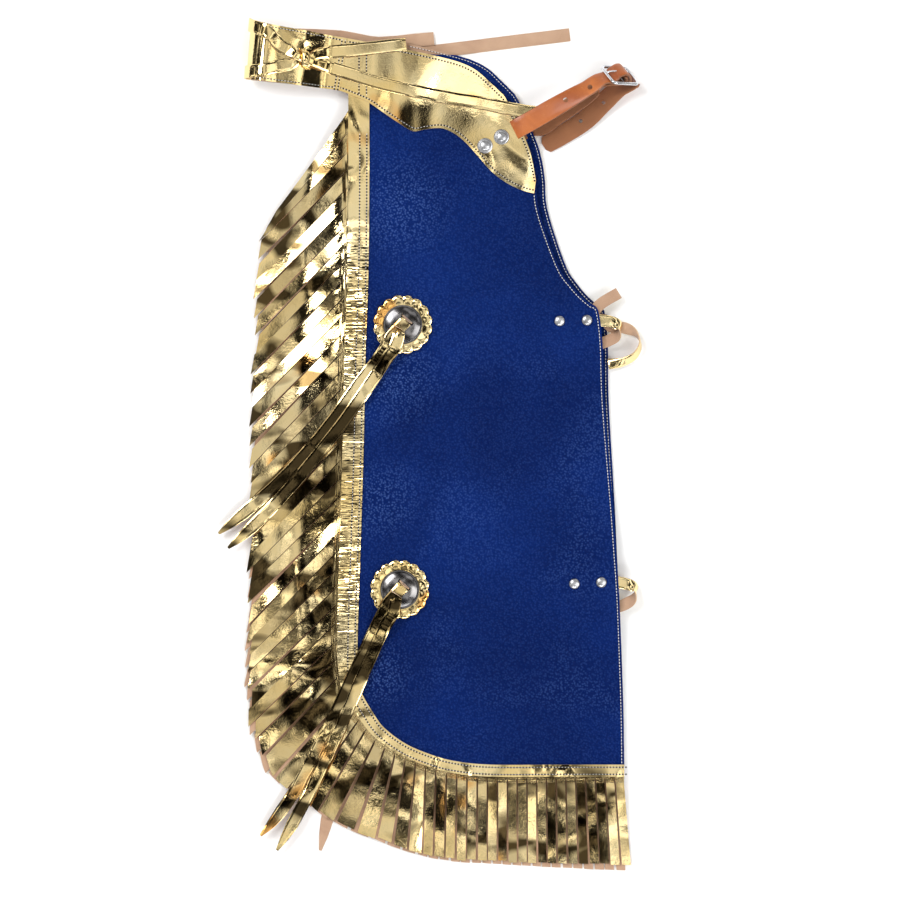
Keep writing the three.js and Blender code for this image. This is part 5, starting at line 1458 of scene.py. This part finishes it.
def frame_wire(name, path, radius, closed=False):
    """Wire of the buckle's frame along a path of points."""
    p = np.array(path, float)
    way = np.roll(p, -1, axis=0) - np.roll(p, 1, axis=0) if closed else np.gradient(p, axis=0)
    way /= np.linalg.norm(way, axis=1, keepdims=True)
    rings = []
    for middle, along in zip(p, way):
        a = unit(np.cross(along, B_FACE))
        rings.append((middle, a, np.cross(along, a), radius))
    return wire(name, rings, closed, 14)


def buckle_ring():
    half_x, half_y, r = SIDE_BAR, BUCKLE_WIDTH / 2 - BUCKLE_WIRE / 2, BUCKLE_CORNER
    path = []
    for quarter, (sx, sy) in enumerate([(1, 1), (-1, 1), (-1, -1), (1, -1)]):
        for k in range(9):
            a = math.pi / 2 * (quarter + k / 8)
            x, y = sx * (half_x - r) + r * math.cos(a), sy * (half_y - r) + r * math.sin(a)
            path.append(in_buckle(x, y, 0))
    return path


def filled(path, parts=2):
    """A closed path with points added between its own."""
    return [mix(a, b, k / parts) for a, b in zip(path, path[1:] + path[:1]) for k in range(parts)]


BAR = BUCKLE_WIRE / 2
ring_mesh = frame_wire("buckle_ring", filled(buckle_ring()), BAR, closed=True)
bar_path = [in_buckle(0, y, 0) for y in np.linspace(-BUCKLE_WIDTH / 2 + BAR, BUCKLE_WIDTH / 2 - BAR, 9)]
bar_mesh = frame_wire("buckle_bar", bar_path, BAR * 0.92)
frame_mesh = joined("buckle_wire_frame", [ring_mesh, bar_mesh], [CHROME])
finished("buckle_wire_frame", frame_mesh, "chrome", "buckle_frame")

RING = BUCKLE_WIRE * 0.72 + GAP + TONGUE_WIRE / 2
ring_turns = np.linspace(0, 2 * math.pi, 29)[:-1]
ring_path = [in_buckle(RING * math.cos(a), 0, RING * math.sin(a)) for a in ring_turns]


def small_ring():
    return wire("tongue_ring", [(q, unit(q - B_CENTRE), -B_ACROSS, TONGUE_WIRE / 2) for q in ring_path], True)


pin_rows = Path([in_buckle(x, 0, z) for x, z in (
    (0, RING), (-SIDE_BAR * 0.4, RING + 2 * GAP), (-SIDE_BAR, BAR + 1.5 * GAP + TONGUE_WIRE / 2),
    (-SIDE_BAR - BUCKLE_WIRE * 0.8, BAR + GAP + TONGUE_WIRE / 2))]).at(np.linspace(0, 1, 22))


def pin():
    taper = [1.0] * (len(pin_rows) - 3) + [0.9, 0.7, 0.35]
    rings = [(q, unit(np.cross(along, B_ACROSS)), B_ACROSS, TONGUE_WIRE / 2 * share)
             for q, along, share in zip(pin_rows, np.gradient(pin_rows, axis=0), taper)]
    return wire("tongue_pin", rings)


tongue_mesh = joined("buckle_wire_tongue", [small_ring(), pin()], [CHROME])
finished("buckle_wire_tongue", tongue_mesh, "chrome", "buckle_tongue")


def strap_root(side):
    slit = on_leg(STRAP_SLIT)
    heading = math.radians(STRAP_HEADING)
    along = np.array([math.cos(heading), math.sin(heading)])
    # share of the slit's opening, height over the panel
    rows = [(-2.5, STRAP_K), (-0.42, STRAP_K), (0.42, FOIL_STEP + 2 * GAP + STRAP / 2),
            (1.1 if side == NEAR else 0.6, FOIL_STEP + (3.2 if side == NEAR else 1.2) + STRAP / 2)]
    made = []
    for share, k in rows:
        p = slit + along * share * SLIT_OPENING
        made.append((layer(side, p[0], p[1], k), np.array([0, 0, OUT[side]]), STRAP_WIDTH))
    return made


def near_strap():
    # place along the buckle and over its face, as shares of its side bar and its seat
    weave = [(-1.0, -1.15), (-0.78, -1.1), (-0.4, 1.3), (0, 2.25), (0.4, 1.3), (0.78, -1.1),
             (1.0, -1.15), (1.2, -1.3)]
    rows = strap_root(NEAR)
    start, bar = rows[-1][0], in_buckle(-SIDE_BAR, 0, -1.15 * BAR_SEAT)
    rows += [(mix(start, bar, t), unit(mix(np.array([0, 0, 1.0]), B_FACE, float(ease(t)))), STRAP_WIDTH)
             for t in (0.25, 0.5, 0.75)]
    rows += [(in_buckle(a * SIDE_BAR, 0, f * BAR_SEAT), B_FACE, STRAP_WIDTH) for a, f in weave]
    rows += [(in_buckle(1.32 * SIDE_BAR, 0, -1.75 * BAR_SEAT), B_ALONG, STRAP_WIDTH),
             (in_buckle(1.2 * SIDE_BAR, 0, -2.4 * BAR_SEAT), -B_FACE, STRAP_WIDTH)]
    # u, v, height of the strap's return
    back = [(0.975, 0.9315, 8.6), (0.925, 0.9155, 6.4), (0.857, 0.8910, 3.6), (0.752, 0.8665, 1.7),
            (0.706, 0.8560, 1.6), (0.697, 0.8538, 1.6)]
    down = np.array([0, 0, -1.0])
    for i, (u, v, z) in enumerate(back):
        x, y = on_leg((u, v))
        width = STRAP_WIDTH * ((1, 1, 1, 1, 0.88, 0.40)[i])
        rows.append((np.array([x, y, z]), unit(mix(-B_FACE, down, float(ease((i + 1) / 3)))), width))
    return rows


def far_strap():
    rows = strap_root(FAR)
    down = np.array([0, 0, -1.0])
    # u, v, height
    laid = [(0.680, 0.8815, 3.4), (0.741, 0.8955, 6.0), (0.820, 0.9140, 9.5), (0.896, 0.9335, 13.5)]
    for i, (u, v, z) in enumerate(laid):
        x, y = on_leg((u, v))
        rows.append((np.array([x, y, z]), unit(mix(down, -B_FACE, (i + 1) / 5)), STRAP_WIDTH))
    rows.append((in_buckle(-0.55 * SIDE_BAR, 0, -1.6 * WRAP_SEAT), -B_FACE, STRAP_WIDTH))
    for turn in (-1, -0.5, 0, 0.5, 1):
        a = turn * math.pi / 2
        normal = B_ALONG * math.cos(a) + B_FACE * math.sin(a)
        rows.append((B_CENTRE + normal * WRAP_SEAT, normal, STRAP_WIDTH))
    return rows


# u, v, share of the punched size
STRAP_HOLES = [(0.777, 0.9155, 1.0), (0.868, 0.9330, 1.0), (0.836, 0.8890, 0.72), (0.922, 0.9140, 0.72)]


def hole_cutter():
    made = bmesh.new()
    for u, v, share in STRAP_HOLES:
        x, y = on_leg((u, v))
        bar = bmesh.ops.create_cone(made, cap_ends=True, segments=28, radius1=STRAP_HOLE / 2 * share * MM,
                                    radius2=STRAP_HOLE / 2 * share * MM, depth=0.2)["verts"]
        for v in bar:
            v.co.x += (x + SHIFT[0]) * MM
            v.co.y += (y + SHIFT[1]) * MM
    return kept(made, "hole_cutter")


STRAP_LOOKS = [TAN, TAN_FLESH, TAN_FLESH]
near_mesh = ribbon("near_tan_strap", near_strap(), STRAP, STRAP_LOOKS)
far_mesh = ribbon("far_tan_strap", far_strap(), STRAP, STRAP_LOOKS)
finished("near_tan_strap", with_cuts(near_mesh, hole_cutter()), "tan", "near_front_strap")
finished("far_tan_strap", far_mesh, "tan", "far_front_strap")


# Stitching
def stitch_tree():
    """Stitches along every edge of a mesh: one small thread form at each step."""
    tree = bpy.data.node_groups.new("stitch_row", "GeometryNodeTree")
    tree.interface.new_socket(name="Geometry", in_out="INPUT", socket_type="NodeSocketGeometry")
    for label, value in (("Pitch", 0.0031), ("Stitch Length", 0.0023), ("Thread Width", 0.0008),
                         ("Hole Size", 0.0005)):
        made = tree.interface.new_socket(name=label, in_out="INPUT", socket_type="NodeSocketFloat")
        made.default_value = value
    tree.interface.new_socket(name="Geometry", in_out="OUTPUT", socket_type="NodeSocketGeometry")
    given, result = tree.nodes.new("NodeGroupInput"), tree.nodes.new("NodeGroupOutput")
    curve = tree.nodes.new("GeometryNodeMeshToCurve")
    steps = node(tree, "GeometryNodeResampleCurve", mode="LENGTH")
    form_node = node(tree, "GeometryNodeMeshUVSphere", {"Segments": 8, "Rings": 5, "Radius": 0.5})
    place = tree.nodes.new("GeometryNodeInstanceOnPoints")
    aim = node(tree, "FunctionNodeAlignRotationToVector", axis="X")
    tangent = tree.nodes.new("GeometryNodeInputTangent")
    size = tree.nodes.new("ShaderNodeCombineXYZ")
    real = tree.nodes.new("GeometryNodeRealizeInstances")
    look = node(tree, "GeometryNodeSetMaterial", {"Material": THREAD})
    link = tree.links.new
    link(given.outputs["Geometry"], curve.inputs[0])
    link(curve.outputs[0], steps.inputs["Curve"])
    link(given.outputs["Pitch"], steps.inputs["Length"])
    link(steps.outputs[0], place.inputs["Points"])
    link(form_node.outputs[0], place.inputs["Instance"])
    link(tangent.outputs[0], aim.inputs["Vector"])
    link(aim.outputs[0], place.inputs["Rotation"])
    link(given.outputs["Stitch Length"], size.inputs["X"])
    link(given.outputs["Thread Width"], size.inputs["Y"])
    link(given.outputs["Thread Width"], size.inputs["Z"])
    link(size.outputs[0], place.inputs["Scale"])
    link(place.outputs[0], real.inputs[0])
    link(real.outputs[0], look.inputs["Geometry"])
    # painted shade: a small near-black ball stands for the shaded hole between each stitch and the next
    half = node(tree, "ShaderNodeMath", {1: 0.5}, operation="MULTIPLY")
    beside = tree.nodes.new("ShaderNodeCombineXYZ")
    shift = tree.nodes.new("GeometryNodeTransform")
    hole_size = node(tree, "ShaderNodeCombineXYZ", {"Z": 0.0005})
    ball = node(tree, "GeometryNodeMeshUVSphere", {"Segments": 8, "Rings": 5, "Radius": 1.0})
    spots = tree.nodes.new("GeometryNodeInstanceOnPoints")
    real_spots = tree.nodes.new("GeometryNodeRealizeInstances")
    dark = node(tree, "GeometryNodeSetMaterial", {"Material": STITCH_HOLE_SHADE})
    both = tree.nodes.new("GeometryNodeJoinGeometry")
    link(given.outputs["Pitch"], half.inputs[0])
    link(half.outputs[0], beside.inputs["X"])
    link(given.outputs["Hole Size"], hole_size.inputs["X"])
    link(given.outputs["Hole Size"], hole_size.inputs["Y"])
    link(hole_size.outputs[0], shift.inputs["Scale"])
    link(beside.outputs[0], shift.inputs["Translation"])
    link(ball.outputs[0], shift.inputs["Geometry"])
    link(steps.outputs[0], spots.inputs["Points"])
    link(shift.outputs[0], spots.inputs["Instance"])
    link(aim.outputs[0], spots.inputs["Rotation"])
    link(spots.outputs[0], real_spots.inputs[0])
    link(real_spots.outputs[0], dark.inputs["Geometry"])
    link(look.outputs[0], both.inputs[0])
    link(dark.outputs[0], both.inputs[0])
    link(both.outputs[0], result.inputs["Geometry"])
    return tree


STITCHES = stitch_tree()
# a stitch lies no lower, so that it stays above the floor
STITCH_FLOOR = 0.45
BAND_ROW_INSETS = (2.6, 9.6)
FRONT_ROW_INSET = 2.5
# how far up the leg the rows run, as shares of its length
BAND_ROW_TOP = 0.87
FRONT_ROW_TOP = 0.785
LINING_ROW_TOP = 0.985


def stitched(name, rows, slot, **sizes):
    """Sewn rows through lists of points in mm."""
    points, edges = [], []
    for row in rows:
        start = len(points)
        points += [((p[0] + SHIFT[0]) * MM, (p[1] + SHIFT[1]) * MM, max(p[2], STITCH_FLOOR) * MM)
                   for p in row]
        edges += [(start + i, start + i + 1) for i in range(len(row) - 1)]
    mesh = bpy.data.meshes.new(name + "_rows")
    mesh.from_pydata(points, edges, [])
    rows_object = bpy.data.objects.new(name + "_rows", mesh)
    bpy.context.scene.collection.objects.link(rows_object)
    work = rows_object.modifiers.new("stitches", "NODES")
    work.node_group = STITCHES
    for item in STITCHES.interface.items_tree:
        if item.in_out == "INPUT" and item.name in sizes:
            work[item.identifier] = sizes[item.name]
    made = bpy.data.meshes.new_from_object(rows_object.evaluated_get(bpy.context.evaluated_depsgraph_get()))
    bpy.data.objects.remove(rows_object)
    made.shade_smooth()
    return finished(name, made, slot)


def band_row_points(side, inset, k):
    rows = []
    for s in np.linspace(0.0, 1.0, 420):
        f = fringe_at(s)
        p = f["at"] + f["out"] * inset
        rows.append(layer(side, p[0], p[1], k))
    return [r for r in rows if r[1] < BAND_ROW_TOP * LEG_LENGTH]


def front_row_points(side, k, top=FRONT_ROW_TOP):
    shares = np.linspace(0, 1, 400)
    way = front_path.way(shares)
    p = front_path.at(shares) + np.stack([-way[:, 1], way[:, 0]], axis=1) * FRONT_ROW_INSET
    rows = [layer(side, q[0], q[1], k) for q in p if 1 < q[1] < top * LEG_LENGTH]
    if side == NEAR:
        for r in rows:
            r[2] += float(soft_relief(r[0], r[1]))
    return rows


def yoke_rows(side):
    t = np.linspace(0.012, 0.985, 160)
    low, high = yoke_low.at(t), yoke_high.at(t)
    span = high - low
    width = np.maximum(np.linalg.norm(span, axis=1, keepdims=True), 1e-6)
    rows = []
    for start, way in ((low, 1.0), (high, -1.0)):
        p = start + span / width * np.minimum(3.2, width * 0.3) * way
        rows.append([layer(side, q[0], q[1], GAP + float(yoke_lift(q[0])) + FOIL + 0.1) for q in p])
    for x in (0.4, 7.8):
        # the band's two rows go on through the yoke
        upward = np.linspace(0.924 * LEG_LENGTH, 0.993 * LEG_LENGTH, 24)
        rows.append([layer(side, x, y, GAP + float(yoke_lift(x)) + FOIL + 0.1) for y in upward])
    return rows


RISE = 0.12
ON_FOIL = {"Thread Width": 0.0005, "Hole Size": 0.0010}
for side in (NEAR, FAR):
    rows = [band_row_points(side, inset, BAND_STEP + RISE) for inset in BAND_ROW_INSETS]
    stitched(f"{side}_band_stitches", rows, "gold", **ON_FOIL)
    rows = [front_row_points(side, RISE)]
    if side == FAR:
        rows.append(front_row_points(side, -LEG_LEATHER - RISE, LINING_ROW_TOP))
    stitched(f"{side}_leg_stitches", rows, "blue")
    stitched(f"{side}_yoke_stitches", yoke_rows(side), "gold", **ON_FOIL)


def belt_stitch_rows():
    rows = []
    for w in (-0.455, 0.455):
        rows.append([on_belt(t, w, FOIL / 2 + RISE)[0] for t in np.linspace(0.35, 8.65, 140)])
    for t in (0.12, 0.30):
        rows.append([on_belt(t, w, FOIL / 2 + RISE)[0] for w in np.linspace(-0.46, 0.46, 20)])
    return rows


stitched("belt_stitches", belt_stitch_rows(), "gold", **ON_FOIL)


# Floor, light, camera
def floor_look():
    f = Finish("pale_floor")
    drift = noise(f.tree, f.where, 3.0, 2.0)
    f.colour(f.blend(drift, (0.95, 0.95, 0.95), (0.97, 0.97, 0.97)))
    f.roughness(drift, 0.85, 0.9)
    return f.material


floor_mesh = bpy.data.meshes.new("floor")
floor_mesh.from_pydata([(-8, -8, 0), (8, -8, 0), (8, 8, 0), (-8, 8, 0)], [], [(0, 1, 2, 3)])
floor_mesh.materials.append(floor_look())
floor = bpy.data.objects.new("floor", floor_mesh)
bpy.context.scene.collection.objects.link(floor)


def room_light():
    """A soft room with brighter and darker patches, for the foil to mirror."""
    world = bpy.data.worlds.new("soft_room")
    bpy.context.scene.world = world
    world.use_nodes = True
    tree = world.node_tree
    where = node(tree, "ShaderNodeTexCoord").outputs["Generated"]
    patches = noise(tree, where, 5.5, 1.5, 0.5, 0.4)
    tones = node(tree, "ShaderNodeValToRGB")
    stops = tones.color_ramp
    stops.elements[0].position, stops.elements[0].color = 0.44, (0.010, 0.009, 0.008, 1)
    stops.elements[1].position, stops.elements[1].color = 0.60, (1.7, 1.69, 1.67, 1)
    middle = stops.elements.new(0.52)
    middle.color = (0.24, 0.235, 0.225, 1)
    tree.links.new(patches, tones.inputs["Fac"])
    apart = node(tree, "ShaderNodeSeparateXYZ")
    tree.links.new(where, apart.inputs[0])
    overhead = ramp(tree, apart.outputs["Z"], 0.972, 0.996)
    ceiling = node(tree, "ShaderNodeMix", data_type="RGBA")
    ceiling.inputs[7].default_value = (0.84, 0.835, 0.82, 1)
    tree.links.new(overhead, ceiling.inputs["Factor"])
    tree.links.new(tones.outputs["Color"], ceiling.inputs[6])
    tree.links.new(ceiling.outputs[2], tree.nodes["Background"].inputs["Color"])


room_light()


def lamp(name, at, aim, size, power):
    data = bpy.data.lights.new(name, "AREA")
    data.shape = "RECTANGLE"
    data.size, data.size_y = size
    data.energy = power
    made = bpy.data.objects.new(name, data)
    bpy.context.scene.collection.objects.link(made)
    made.location = at
    way = np.array(aim) - np.array(at)
    made.rotation_euler = Vector(way).to_track_quat("-Z", "Y").to_euler()


# place, aim, size in m, power in W
lamp("key", (-1.5, 1.3, 2.6), (0, 0, 0), (1.4, 1.4), 62)
lamp("fill", (1.9, -0.6, 2.4), (0, 0, 0), (1.2, 1.8), 34)
lamp("front", (0.2, -2.2, 2.2), (0, 0, 0), (2.0, 0.7), 26)

# straight above the picture's middle, with the picture's width in view
PICTURE_MIDDLE = (91, 314)
PICTURE_WIDTH = 0.9
camera_data = bpy.data.cameras.new("camera")
camera_data.lens = 180
camera_data.sensor_width = 36
camera_data.clip_end = 50
camera = bpy.data.objects.new("camera", camera_data)
bpy.context.scene.collection.objects.link(camera)
camera.location = (
    (PICTURE_MIDDLE[0] + SHIFT[0]) * MM, (PICTURE_MIDDLE[1] + SHIFT[1]) * MM,
    PICTURE_WIDTH * camera_data.lens / camera_data.sensor_width)
bpy.context.scene.camera = camera
bpy.context.scene.view_settings.view_transform = "Standard"
